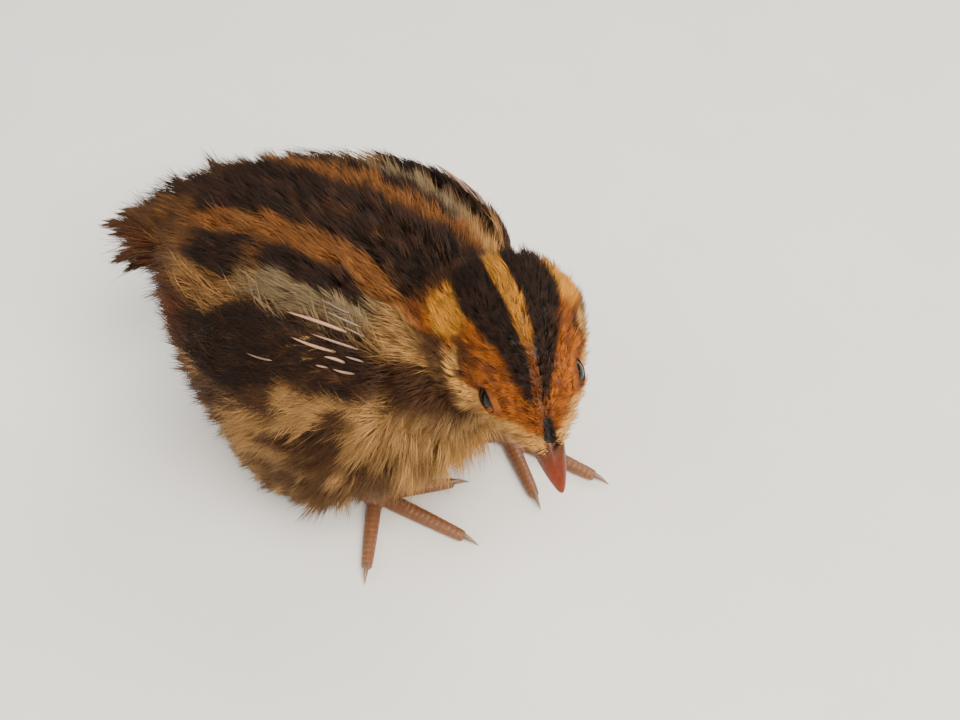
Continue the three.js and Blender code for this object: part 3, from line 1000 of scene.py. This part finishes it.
def make_eye(side, sign):
    """An eyeball with a cornea, finer than its solid."""
    bm = bmesh.new()
    bmesh.ops.create_uvsphere(bm, u_segments=40, v_segments=28, radius=1)
    look = Vector(from_head(eye_axes(sign)[1]) - HEAD.middle)
    turn = look.to_track_quat("Z", "Y").to_matrix()
    gaze = []
    for vert in bm.verts:
        angle = math.acos(max(-1, min(1, vert.co.z)))
        bulge = CORNEA.bulge * math.exp(-((angle / CORNEA.angle) ** 4))
        gaze.append(min(1, angle / CORNEA.rim))
        place = turn @ vert.co * (EYE.radius * (CORNEA.ball + bulge))
        vert.co = Vector(to_scene(EYE_PLACE[side] + np.array(place)))
    mesh = mesh_from(f"eyeball_{side}", bm)
    set_numbers(mesh, "gaze", gaze)
    return mesh


EYE_FINISH = eye_finish()
for word, sign in SIDES.items():
    dressed(f"eyeball_{word}", make_eye(word, sign), EYE_FINISH, [f"eye_{word}"])
print("eyes made")

# %% [markdown]
# Thin bare lids hug the eyeball and leave an almond between them. Each lid starts as a ring of points
# round the opening that is extruded outwards in folds over the ball and given a thickness.

# %% Lids
LID = Sizes(half_length=1.45, half_height=0.85, folds=5, around=40, reach=0.7, off_ball=0.08, relief=0.03,
            corner_dip=0.12, wall=0.12)


def lid_finish():
    """Finely creased skin in the colours of the face, dark at the edge of the eye."""
    finish = Finish("lid", Roughness=0.7, Specular_IOR_Level=0.2)
    marking, edge = finish.attribute("marking", "Color"), finish.attribute("edge")
    shade = finish.blend(marking, colour(60, 40, 28), edge)
    finish.feed("Base Color", finish.bright(shade, finish.grain(5200) * 0.5 + 0.3))
    finish.shape(finish.cells(3800), 0.5, 0.08)
    return finish.material


def lid_point(x, y, fold, sign):
    """Where a point of the unit ring goes on the ball of the eye, for a fold counted from its edge."""
    around = math.atan2(y, x)
    out = fold / LID.folds
    long = LID.half_length + LID.reach * out
    flatter = 1 - LID.corner_dip * abs(math.cos(around)) ** 3
    high = LID.half_height * flatter + LID.reach * out
    ahead, up = long * math.cos(around), high * math.sin(around)
    radius = EYE.radius + LID.off_ball + LID.relief * math.cos(3 * math.pi * out)
    aside = math.sqrt(max(0.2, radius ** 2 - ahead ** 2 - up ** 2))
    return from_head(eye_middle(sign) + np.array([ahead, aside, up]) @ eye_axes(sign))


def make_lids(side, sign):
    """Both lids of one eye, as a folded ring on the ball."""
    bm = bmesh.new()
    made = bmesh.ops.create_circle(bm, segments=LID.around, radius=1)
    ring = made["verts"]
    edges = list({edge for vert in ring for edge in vert.link_edges})
    level = {vert: 0 for vert in ring}
    for fold in range(1, LID.folds + 1):
        made = bmesh.ops.extrude_edge_only(bm, edges=edges)["geom"]
        edges = [g for g in made if isinstance(g, bmesh.types.BMEdge)]
        level.update({g: fold for g in made if isinstance(g, bmesh.types.BMVert)})
    for vert, fold in level.items():
        vert.co = Vector(to_scene(lid_point(vert.co.x, vert.co.y, fold, sign)))
    bmesh.ops.recalc_face_normals(bm, faces=bm.faces)
    mesh = mesh_from(f"lids_{side}", bm)
    set_numbers(mesh, "edge", [1 - min(1, fold) for fold in level.values()])
    set_colours(mesh, "marking", coat_colour(places_of(mesh)))
    return mesh


LID_FINISH = lid_finish()
for word, sign in SIDES.items():
    lids = dressed(f"lids_{word}", make_lids(word, sign), LID_FINISH)
    wall = lids.modifiers.new("wall", "SOLIDIFY")
    wall.thickness, wall.offset = LID.wall * MM, 0
print("lids made")

# %% [markdown]
# The bill is two halves of horn that meet along the line of the mouth. The root of each is sunk in the
# down of the face. Each half is a ball of fine rings, drawn out by the same sizes as its solid, with a
# ridge on top and the nostrils pressed in. The horn is pinkish brown at the root, orange-red at the tip.

# %% Bill
BILL = Sizes(base=8.6, length=7.0, half_width=2.3, height=2.5, below=-2.2, droop=0.9, sunk=3.2, gap=0.16)
HALVES = {"upper": Sizes(length=1, width=1), "lower": Sizes(length=0.93, width=0.86)}
NOSTRIL = Sizes(forward=11.2, up=-0.75, long=0.8, high=0.34, pit=0.32, rim=0.07)
HORN = [  # places from the root to the tip, and the colours there
    (0.0, (112, 68, 40)), (0.4, (84, 46, 26)), (0.65, (104, 38, 10)), (1.0, (118, 44, 8)),
]


def bill_finish():
    """Streaked horn, with a little light let through."""
    finish = Finish("bill", Specular_IOR_Level=0.3, Subsurface_Weight=0.08, Subsurface_Scale=0.0006)
    horn = finish.node("ShaderNodeValToRGB", dict(stops=HORN), {0: finish.attribute("tip")})
    finish.feed("Base Color", finish.bright(horn, finish.grain(1900, 5) * 0.7 + 0.5))
    finish.feed("Roughness", finish.grain(3000) * 0.3 + 0.25)
    finish.shape(finish.grain(2400, 6), 0.25, 0.1)
    return finish.material


def bill_point(half, direction):
    """Moves a point of a unit ball, whose poles lie fore and aft, to its place on half of the bill."""
    size = HALVES[half]
    f, l, u = direction
    reach = BILL.length * size.length
    forward = BILL.base - BILL.sunk + (reach + BILL.sunk) * (f + 1) / 2
    grown = np.clip((forward - BILL.base + 2) / (reach + 2), 0, 1)
    narrow = 1 - 0.55 * grown
    across = BILL.half_width * size.width * narrow * l
    up = BILL.below - BILL.droop * grown ** 3
    rise, fall = max(0, u) * BILL.height * narrow, min(0, u) * BILL.height * narrow
    if half == "lower":
        return [forward, across, up - BILL.gap + 0.55 * fall + max(0, u) * 0.1]
    ridge = 0.16 * math.exp(-((l / 0.2) ** 2)) * max(0, u) * (1 - grown)
    up = up + rise + min(0, u) * 0.15 + ridge
    from_nostril = ((forward - NOSTRIL.forward) / NOSTRIL.long, (up - NOSTRIL.up) / NOSTRIL.high)
    away = math.hypot(*from_nostril)
    rim = NOSTRIL.rim * math.exp(-(((away - 1.6) / 0.5) ** 2))
    pressed_in = NOSTRIL.pit * math.exp(-(away ** 4)) - rim
    return [forward, across * (1 - pressed_in), up]


def make_horn(half):
    """One half of the bill, as a ball of fine rings drawn out to its form."""
    bm = bmesh.new()
    bmesh.ops.create_uvsphere(bm, u_segments=56, v_segments=48, radius=1)
    tip = []
    for vert in bm.verts:
        point = bill_point(half, (vert.co.z, vert.co.x, vert.co.y))
        tip.append(np.clip((point[0] - BILL.base) / BILL.length, 0, 1))
        vert.co = Vector(to_scene(from_head(point)))
    bmesh.ops.recalc_face_normals(bm, faces=bm.faces)
    mesh = mesh_from(f"horn_{half}", bm)
    set_numbers(mesh, "tip", tip)
    return mesh


BILL_FINISH = bill_finish()
for half in HALVES:
    dressed(f"horn_{half}", make_horn(half), BILL_FINISH, [f"bill_{half}"])
print("bill made")

# %% [markdown]
# Scales cover the legs: a row of broad plates along the top of the shank and of each toe, and small
# round scales elsewhere. The leg's solids are melted into one limb, and its surface is pressed in
# between the plates, so that the plates are real relief.

# %% Legs
TOES = {
    "middle": Sizes(spread=0, length=12.8, radius=1.05),
    "inner": Sizes(spread=40, length=10, radius=0.95),
    "outer": Sizes(spread=-64, length=10.6, radius=0.95),
    "hind": Sizes(spread=146, length=5.2, radius=0.8),
}
PLATE = Sizes(length=0.72, depth=0.05, shank_length=1.0, groove=0.14)
LEG = Sizes(swell=0.2, voxel=0.17, rounds=5, sunk=0.1)


def toe_way(side, toe):
    """The way along the floor that a toe points."""
    return way_of(STANCE[side].heading - SIDES[side] * toe.spread)


def leg_lines(side):
    """The line of the shank and of each toe, as start, end and plate length."""
    pad = STANCE[side].pad
    lines = [(hock(side), pad, PLATE.shank_length)]
    for toe in TOES.values():
        end = pad + toe.length * toe_way(side, toe)
        end[2] = toe.radius * 0.7
        lines.append((pad, end, PLATE.length))
    return lines


def plate_relief(points, normals, side):
    """How deep the surface lies in the grooves between the plates, from 0 to 1."""
    best = np.full(len(points), np.inf)
    groove = np.zeros(len(points))
    for start, end, length in leg_lines(side):
        span = np.linalg.norm(end - start)
        along = np.clip((points - start) @ (end - start) / span, 0, span)
        away = np.linalg.norm(points - start - along[:, None] * (end - start) / span, axis=1)
        from_groove = np.abs((along / length + 0.5) % 1 - 0.5) / PLATE.groove
        groove = np.where(away < best, np.exp(-(from_groove ** 2)), groove)
        best = np.minimum(best, away)
    return groove * step(-0.2, 0.5, normals[:, 2])


def leg_finish():
    """Scaly skin, darker and duller in the grooves."""
    finish = Finish("leg", Roughness=0.5, Subsurface_Weight=0.15, Subsurface_Scale=0.001)
    groove, scales = finish.attribute("groove"), finish.cells(2100)
    cloudy = finish.blend(colour(140, 92, 56), colour(104, 64, 38), finish.grain(420, 4))
    shade = finish.blend(cloudy, colour(84, 50, 30), groove * 0.4)
    finish.feed("Base Color", finish.bright(shade, (scales * 1.2).clamped() * 0.35 + 0.8))
    finish.feed("Roughness", groove * 0.25 + 0.42)
    finish.shape(scales, 0.5, 0.12)
    return finish.material


LEG_FINISH = leg_finish()
for word in SIDES:
    nodes = [f"shank_{word}"] + [f"toe_{word}_{toe}" for toe in TOES]
    mesh = melted(f"leg_{word}", swollen(nodes, LEG.swell), LEG.voxel)
    mesh = softened(mesh, np.ones(len(mesh.vertices)), LEG.rounds)
    points, outward = places_of(mesh), normals_of(mesh)
    groove = plate_relief(points, outward, word)
    points = points - outward * (LEG.sunk + PLATE.depth * groove)[:, None]
    points[:, 2] = np.maximum(points[:, 2], 0.0)
    move_to(mesh, points)
    set_numbers(mesh, "groove", groove)
    dressed(f"leg_skin_{word}", mesh, LEG_FINISH, nodes)
    print("leg", word, len(mesh.vertices), "corners")

# %% [markdown]
# The claws are small horn cones that arch over and come down to the floor. A claw is a strand too: rings
# along a bent line, rooted inside the end of its toe.

# %% Claws
CLAW = Sizes(
    length=2.0, sunk=1.3, half_width=0.448, flat=1.25, arch=0.3, tip_height=0.25, rings=8, around=12,
)


def claw_finish():
    """Streaked horn that pales to the tip."""
    finish = Finish("claw", Roughness=0.35, Coat_Weight=0.2)
    grain = finish.grain(3600, 4)
    share = finish.attribute("along") * 0.6 + grain * 0.4
    finish.feed("Base Color", finish.blend(colour(72, 46, 32), colour(138, 104, 74), share))
    finish.shape(grain, 0.2, 0.05)
    return finish.material


def claw_lines(side):
    """The centre lines of the claws of one foot, from inside the toe to the point."""
    t = np.linspace(0, 1, CLAW.rings)
    lines = []
    for toe in TOES.values():
        along = toe.length - CLAW.sunk + (CLAW.length + CLAW.sunk) * t
        root = toe.radius * 0.72
        line = STANCE[side].pad + along[:, None] * toe_way(side, toe)
        line[:, 2] = root + (CLAW.tip_height - root) * t ** 1.6 + CLAW.arch * np.sin(math.pi * t)
        lines.append(line)
    return np.array(lines)


CLAW_FINISH = claw_finish()
for word in SIDES:
    line = claw_lines(word)
    count = len(line)
    wide = CLAW.half_width * np.tile(1 - np.linspace(0, 1, CLAW.rings)[:-1] ** 1.5, (count, 1))
    side = np.cross(unit(line[:, -1] - line[:, 0]), [0, 0, 1])
    mesh = strand_mesh(f"claws_{word}", line, side, wide, CLAW.around, line[:, 0], np.ones((count, 3)),
                       np.ones(count), flat=CLAW.flat)
    dressed(f"claws_{word}", mesh, CLAW_FINISH, [f"claw_{word}_{toe}" for toe in TOES])
print("claws made")

# %% [markdown]
# A young feather is a shaft with a row of barbs on each side. The barbs are strands of their own, so
# that the vane has a soft, frayed edge. One function builds the feathers of a whole tier from their
# shafts. The youngest feathers are still in their sheaths, which are pale waxy tubes.

# %% Feathers
BARB = Sizes(width=np.array([0.11, 0.085]), flat=0.35, fray=0.05, notch=0.45)
SHAFT = Sizes(radius=0.1, taper=0.7, around=6)


def along_line(line, t):
    """Points at the shares t of each line, and past its end along its last way."""
    last = line.shape[1] - 1
    place = np.clip(np.floor(t * last).astype(int), 0, last - 1)
    rows = np.arange(len(line))[:, None]
    start, end = line[rows, place], line[rows, place + 1]
    return start + (end - start) * (t * last - place)[..., None]


def vane_shape(t, opening):
    """The width of a vane along its shaft, as a share of its full width."""
    s = np.clip((t - opening) / (1 - opening), 0, 1)
    return (0.35 + 0.65 * np.sin(math.pi * np.clip(0.12 + 0.6 * s, 0, 1))) * (1 - 0.55 * s ** 5)


def barb_mesh(name, shafts, across, over, size, outer, paint):
    """The barbs of a tier of feathers, as one mesh. The outer web, 1 or -1, has pale notches."""
    count, barbs = len(shafts), size.barbs
    place = (np.arange(barbs) + rng.random((count, barbs))) / barbs
    t = size.opening + (0.99 - size.opening) * place
    lines, paints = [], []
    for web in (-1, 1):
        wide = size.half_width * vane_shape(t, size.opening) * rng.uniform(0.8, 1.1, (count, barbs))
        line = []
        for u in (0, 0.5, 1):
            point = along_line(shafts, t + size.lead * u * (1 - 0.35 * t))
            point = point + across[:, None] * (web * wide * u ** 0.85)[..., None]
            point = point - over[:, None] * (size.droop * (wide * u) ** 2)[..., None]
            line.append(point + BARB.fray * u * rng.standard_normal((count, barbs, 3)))
        lines.append(np.stack(line, 2).reshape(-1, 3, 3))
        notch = step(0.15, 0.6, np.sin(t * 21 + np.arange(count)[:, None])) * (web == outer)
        paints.append(mixed(paint[:, None], BUFF, BARB.notch * notch).reshape(-1, 3))
    line, paint = np.concatenate(lines), np.concatenate(paints)
    side = np.cross(np.tile(np.repeat(over, barbs, 0), (2, 1)), unit(line[:, 2] - line[:, 0]))
    wide = np.tile(BARB.width, (len(line), 1))
    luck = rng.random(len(line))
    return strand_mesh(name, line, side, wide, 3, line[:, 0], paint, luck, flat=BARB.flat)


def shaft_mesh(name, shafts, across):
    """The bare shafts of a tier of feathers."""
    count, places = shafts.shape[:2]
    radius = SHAFT.radius * (1 - SHAFT.taper * np.linspace(0, 1, places)[:-1])
    wide, paint = np.tile(radius, (count, 1)), np.tile(UMBER, (count, 1))
    return strand_mesh(name, shafts, across, wide, SHAFT.around, shafts[:, 0], paint, rng.random(count))


def feather_finish():
    """Barbs: the feather's colour, with a warm edge where they end."""
    finish = Finish("feather", Roughness=0.6, Specular_IOR_Level=0.15)
    along, luck = finish.attribute("along"), finish.attribute("luck")
    edge = finish.blend(finish.attribute("marking", "Color"), HONEY, along ** 2 * luck * 0.55)
    finish.feed("Base Color", finish.bright(edge, luck * 0.45 + finish.grain(2600) * 0.5 + 0.4))
    return finish.material


def sheath_finish():
    """Sheaths: waxy and flaking, from bluish grey to a pinkish cream where they are pale."""
    finish = Finish("sheath", Roughness=0.4, Coat_Weight=0.1, Subsurface_Weight=0.1, Subsurface_Scale=0.0004)
    flakes = finish.grain(2600, 5)
    share = (finish.attribute("luck") * 1.1 + flakes * 0.5 - 0.25).clamped()
    finish.feed("Base Color", finish.blend(colour(54, 46, 40), colour(152, 114, 88), share))
    finish.shape(flakes, 0.5, 0.08)
    return finish.material


FEATHER_FINISH, SHEATH_FINISH = feather_finish(), sheath_finish()


def dress_feathers(kind, word, shafts, across, over, size, outer=0, replaces=()):
    """The barbs and the shafts of one tier, as two pieces."""
    paint = mixed(SOOT, UMBER, rng.random(len(shafts)))
    barbs, bare = f"{kind}_barbs_{word}", f"{kind}_shafts_{word}"
    mesh = barb_mesh(barbs, shafts, across, over, size, outer, paint)
    dressed(barbs, mesh, FEATHER_FINISH, replaces)
    dressed(bare, shaft_mesh(bare, shafts, across), FEATHER_FINISH)


# %% [markdown]
# The folded wing lies on the flank. The flight feathers come first, then the coverts over their roots,
# and last the down of the arm over both, from which some of the pale sheaths stand out. Each follows the
# curve of the flank, because it is placed by a distance forward and an angle above the side.

# %% Wings
FLIGHT = Sizes(count=9, root=0.34, tip=-0.47, lift=29, root_span=19, tip_span=20, out=0.3,
               half_width=1.35, opening=0.3, barbs=48, lead=0.13, droop=0.05)
COVERTS = Sizes(count=8, root=0.46, tip=-0.12, lift=33, root_span=22, tip_span=20, out=0.75,
                half_width=1.2, opening=0.4, barbs=38, lead=0.16, droop=0.05)
ARM_DOWN = Sizes(count=7600, front=0.62, rear=-0.5, lift=27, half_lift=17, length=3.2, rise=0.8, out=0.15,
                 width=np.array([0.066, 0.05]))
QUILLS = [  # forward and lift of the root and of the tip, radius, paleness
    (0.36, 45.5, 0.08, 44.4, 0.27, 1.0),
    (0.35, 38.5, 0.15, 38.3, 0.24, 0.9),
    (0.43, 41.6, 0.22, 41.2, 0.2, 0.55),
    (0.4, 36.2, 0.31, 36.2, 0.24, 0.95),
    (0.47, 38.3, 0.39, 38.3, 0.17, 0.5),
    (0.45, 33.6, 0.36, 33.4, 0.2, 0.6),
    (0.34, 33.1, 0.29, 33.0, 0.17, 0.6),
    (0.41, 48.6, 0.24, 49.0, 0.17, 0.3),
    (0.35, 51.0, 0.2, 51.5, 0.15, 0.2),
    (0.44, 46.0, 0.33, 46.6, 0.15, 0.25),
    (0.1, 29.5, -0.02, 29.0, 0.14, 0.4),
]
SHEATH = Sizes(rings=0.72 * np.array([0.6, 0.9, 1.0, 0.98, 0.9, 0.72, 0.45]), around=8, out=1.4, rise=0.5)
UNEVEN = np.array([0.02, 1.0, 0.02, 1.0, 0.02, 0.1])


def flank_point(side, forward, lift, out):
    """A point over the flank: forward from -1 to 1, lift in degrees above the side, out from the form."""
    def at(f, degrees):
        around = np.sqrt(np.maximum(0, 1 - f ** 2))
        left, up = side * around * np.cos(np.radians(degrees)), around * np.sin(np.radians(degrees))
        rear, front = np.minimum(0, f) ** 2, np.maximum(0, f) ** 2
        width = TORSO.half_width * (1 + 0.02 * f - 0.46 * rear - 0.1 * front)
        above, below = 1 - 0.08 * rear - 0.05 * front, 1 - 0.5 * rear
        height = np.where(up > 0, TORSO.up * above, TORSO.down * below)
        lean = math.radians(TORSO.lean)
        across, high = width * left, height * up
        y = across * math.cos(lean) + high * math.sin(lean)
        z = high * math.cos(lean) - across * math.sin(lean)
        z = z + TORSO.rear_up * rear - TORSO.front_down * front
        return np.stack([np.where(f > 0, TORSO.front, TORSO.back) * f, y, z], -1) + TORSO.middle

    here = at(forward, lift)
    normal = np.cross(at(forward + 0.01, lift) - here, at(forward, lift + 1) - here) * -side
    return here + unit(normal) * np.asarray(out)[..., None]


def wing_shafts(sign, tier, places=10):
    """The shafts of a tier's feathers, from root to tip."""
    s = np.linspace(-0.5, 0.5, tier.count)[:, None]
    t = np.linspace(0, 1, places)[None]
    wobble = rng.standard_normal((tier.count, 2, 1))
    root, tip = tier.root - 0.03 * s, tier.tip + 0.2 * (s + 0.5) ** 2 + 0.025 * wobble[:, 0]
    tip_lift = tier.tip_span * s - 5 + 1.2 * wobble[:, 1]
    lift = tier.lift + tier.root_span * s * (1 - t) + tip_lift * t
    out = tier.out + 0.3 * np.sin(math.pi * t) + 0.3 * s + 0 * lift
    return flank_point(sign, root + (tip - root) * t, lift, out)


def dress_tier(word, sign, kind, tier, replaces=()):
    """The feathers of one tier of a wing."""
    shafts = wing_shafts(sign, tier)
    ahead = unit(shafts[:, -1] - shafts[:, 0])
    over = unit(shafts[:, 4] - TORSO.middle)
    over = unit(over - (over * ahead).sum(1, keepdims=True) * ahead)
    dress_feathers(kind, word, shafts, np.cross(over, ahead), over, tier, -sign, replaces)


def dress_quills(word, sign):
    """The young feathers of the arm that are still in their sheaths."""
    size = np.array(QUILLS)
    if sign == LEFT:
        size = size + UNEVEN * rng.standard_normal(size.shape)
    t = np.linspace(0, 1, len(SHEATH.rings) + 1)[None]
    root, tip = size[:, :2, None], size[:, 2:4, None]
    forward, lift = np.moveaxis(root + (tip - root) * t, 1, 0)
    bend = rng.standard_normal((len(size), 1)) * (size[:, :1] - size[:, 2:3]) / 0.28
    lift = lift + 0.6 * bend * np.sin(math.pi * t)
    tubes = flank_point(sign, forward, lift, SHEATH.out + SHEATH.rise * t + 0 * lift)
    across = np.cross(unit(tubes[:, 4] - TORSO.middle), unit(tubes[:, -1] - tubes[:, 0]))
    wide = size[:, 4:5] * SHEATH.rings
    name, paint = f"quills_{word}", np.tile(CREAM, (len(tubes), 1))
    mesh = strand_mesh(name, tubes, across, wide, SHEATH.around, tubes[:, 2], paint, size[:, 5])
    dressed(name, mesh, SHEATH_FINISH)


def dress_arm(word, sign):
    """The short dark down over the arm and the roots of the feathers."""
    size, count = ARM_DOWN, ARM_DOWN.count
    forward = rng.uniform(size.rear, size.front, count)
    lift = size.lift + size.half_lift * rng.uniform(-1, 1, count)
    over = np.abs(lift - size.lift) / size.half_lift
    kept = rng.random(count) < (0.15 + 0.85 * step(-0.3, 0.1, forward)) * step(1.05, 0.6, over)
    forward, lift = forward[kept], lift[kept]
    count = len(forward)
    tuft = lumps(flank_point(sign, forward, lift, 0), 1.6, 21)
    length = size.length * (1 + 0.3 * tuft) * rng.uniform(0.7, 1.2, count)
    stray = 4 * rng.standard_normal(count) + 10 * tuft
    places = []
    for t in (-0.1, 0.5, 1):
        rise = size.rise * np.sin(1.5 * max(0, t)) + 0.9 * t
        out = size.out + rise * rng.uniform(0.7, 1.1, count)
        places.append(flank_point(sign, forward - t * length / 24, lift + t * (stray - 2), out))
    line = np.stack(places, 1)
    side = rng.standard_normal((count, 3))
    wide = np.tile(size.width, (count, 1))
    paint = mixed(coat_colour(line[:, 1]), HONEY, 0.5 * step(0.35, 0.7, lumps(line[:, 1], 1.3, 22)))
    name = f"arm_down_{word}"
    mesh = strand_mesh(name, line, side, wide, 3, line[:, 0], paint, rng.random(count))
    dressed(name, mesh, DOWN)
    print("arm down", word, count, "hairs")


for word, sign in SIDES.items():
    dress_tier(word, sign, "flight", FLIGHT, [f"wing_{word}"])
    dress_tier(word, sign, "covert", COVERTS)
    dress_arm(word, sign)
    dress_quills(word, sign)

# %% [markdown]
# The tail is a short tuft: two rows of small, dark plumes that fan out from the end of the rump, nearly
# lost in its long down.

# %% Tail
PLUMES = Sizes(half_width=1.3, opening=0.25, barbs=54, lead=0.32, droop=0.02)
TAIL_ROWS = [
    Sizes(count=6, rise=1.7, tip=-29.8, spread=5.6),
    Sizes(count=5, rise=0.2, tip=-28.0, spread=4.2),
]
TAIL_ROOT = Sizes(forward=-20, spread=3.2, bow=0.8, places=8)

for number, row in enumerate(TAIL_ROWS):
    s = np.linspace(-1, 1, row.count)
    height = TAIL.middle[2] + row.rise
    root = np.stack([TAIL_ROOT.forward + 0 * s, TAIL_ROOT.spread * s, height - 0.6 * s ** 2], 1)
    tip = np.stack([row.tip + 3 * s ** 2, row.spread * s, height - 0.7 - 1.2 * s ** 2], 1)
    tip = tip + 0.5 * rng.standard_normal(tip.shape)
    t = np.linspace(0, 1, TAIL_ROOT.places)[None, :, None]
    bow = np.array([0, 0, TAIL_ROOT.bow]) * np.sin(math.pi * t)
    over = np.tile([0.0, 0, 1], (row.count, 1))
    across = np.cross(over, unit(tip - root))
    shafts = root[:, None] * (1 - t) + tip[:, None] * t + bow
    dress_feathers("tail", number + 1, shafts, across, over, PLUMES)
print("tail made")

# %% [markdown]
# A plain pale floor and soft lights, as in a studio: a broad key light above the right, a weaker one
# from the left, and an even sky.

# %% Floor and lights
FLOOR = Sizes(size=1.2, below=0.03)
BIRD_MIDDLE = (8, 0, 20)
LIGHTS = {
    "key": Sizes(azimuth=60, height=55, distance=500, size=0.35, power=6.2, tint=(1.0, 0.94, 0.86)),
    "fill": Sizes(azimuth=-50, height=40, distance=600, size=0.5, power=2.2, tint=(0.92, 0.96, 1.0)),
    "rim": Sizes(azimuth=170, height=45, distance=600, size=0.4, power=2.5, tint=(1.0, 0.98, 0.95)),
}
SKY = dict(Color=(0.95, 0.97, 1.0, 1), Strength=0.4)

bm = bmesh.new()
bmesh.ops.create_grid(bm, x_segments=1, y_segments=1, size=FLOOR.size)
bmesh.ops.translate(bm, verts=bm.verts, vec=(0, 0, -FLOOR.below * MM))
floor = object_of("floor", mesh_from("floor", bm))
finish = Finish("floor", Roughness=0.8)
finish.feed("Base Color", finish.blend(colour(226, 222, 215), colour(218, 214, 206), finish.grain(60)))
floor.data.materials.append(finish.material)

for name, light in LIGHTS.items():
    data = bpy.data.lights.new(name, "AREA")
    data.size, data.energy, data.color = light.size, light.power, light.tint
    look_from(name, data, BIRD_MIDDLE, light.azimuth, light.height, light.distance)
world = bpy.data.worlds.new("sky")
world.use_nodes = True
for name, value in SKY.items():
    world.node_tree.nodes["Background"].inputs[name].default_value = value
bpy.context.scene.world = world
print("floor and", len(LIGHTS), "lights")
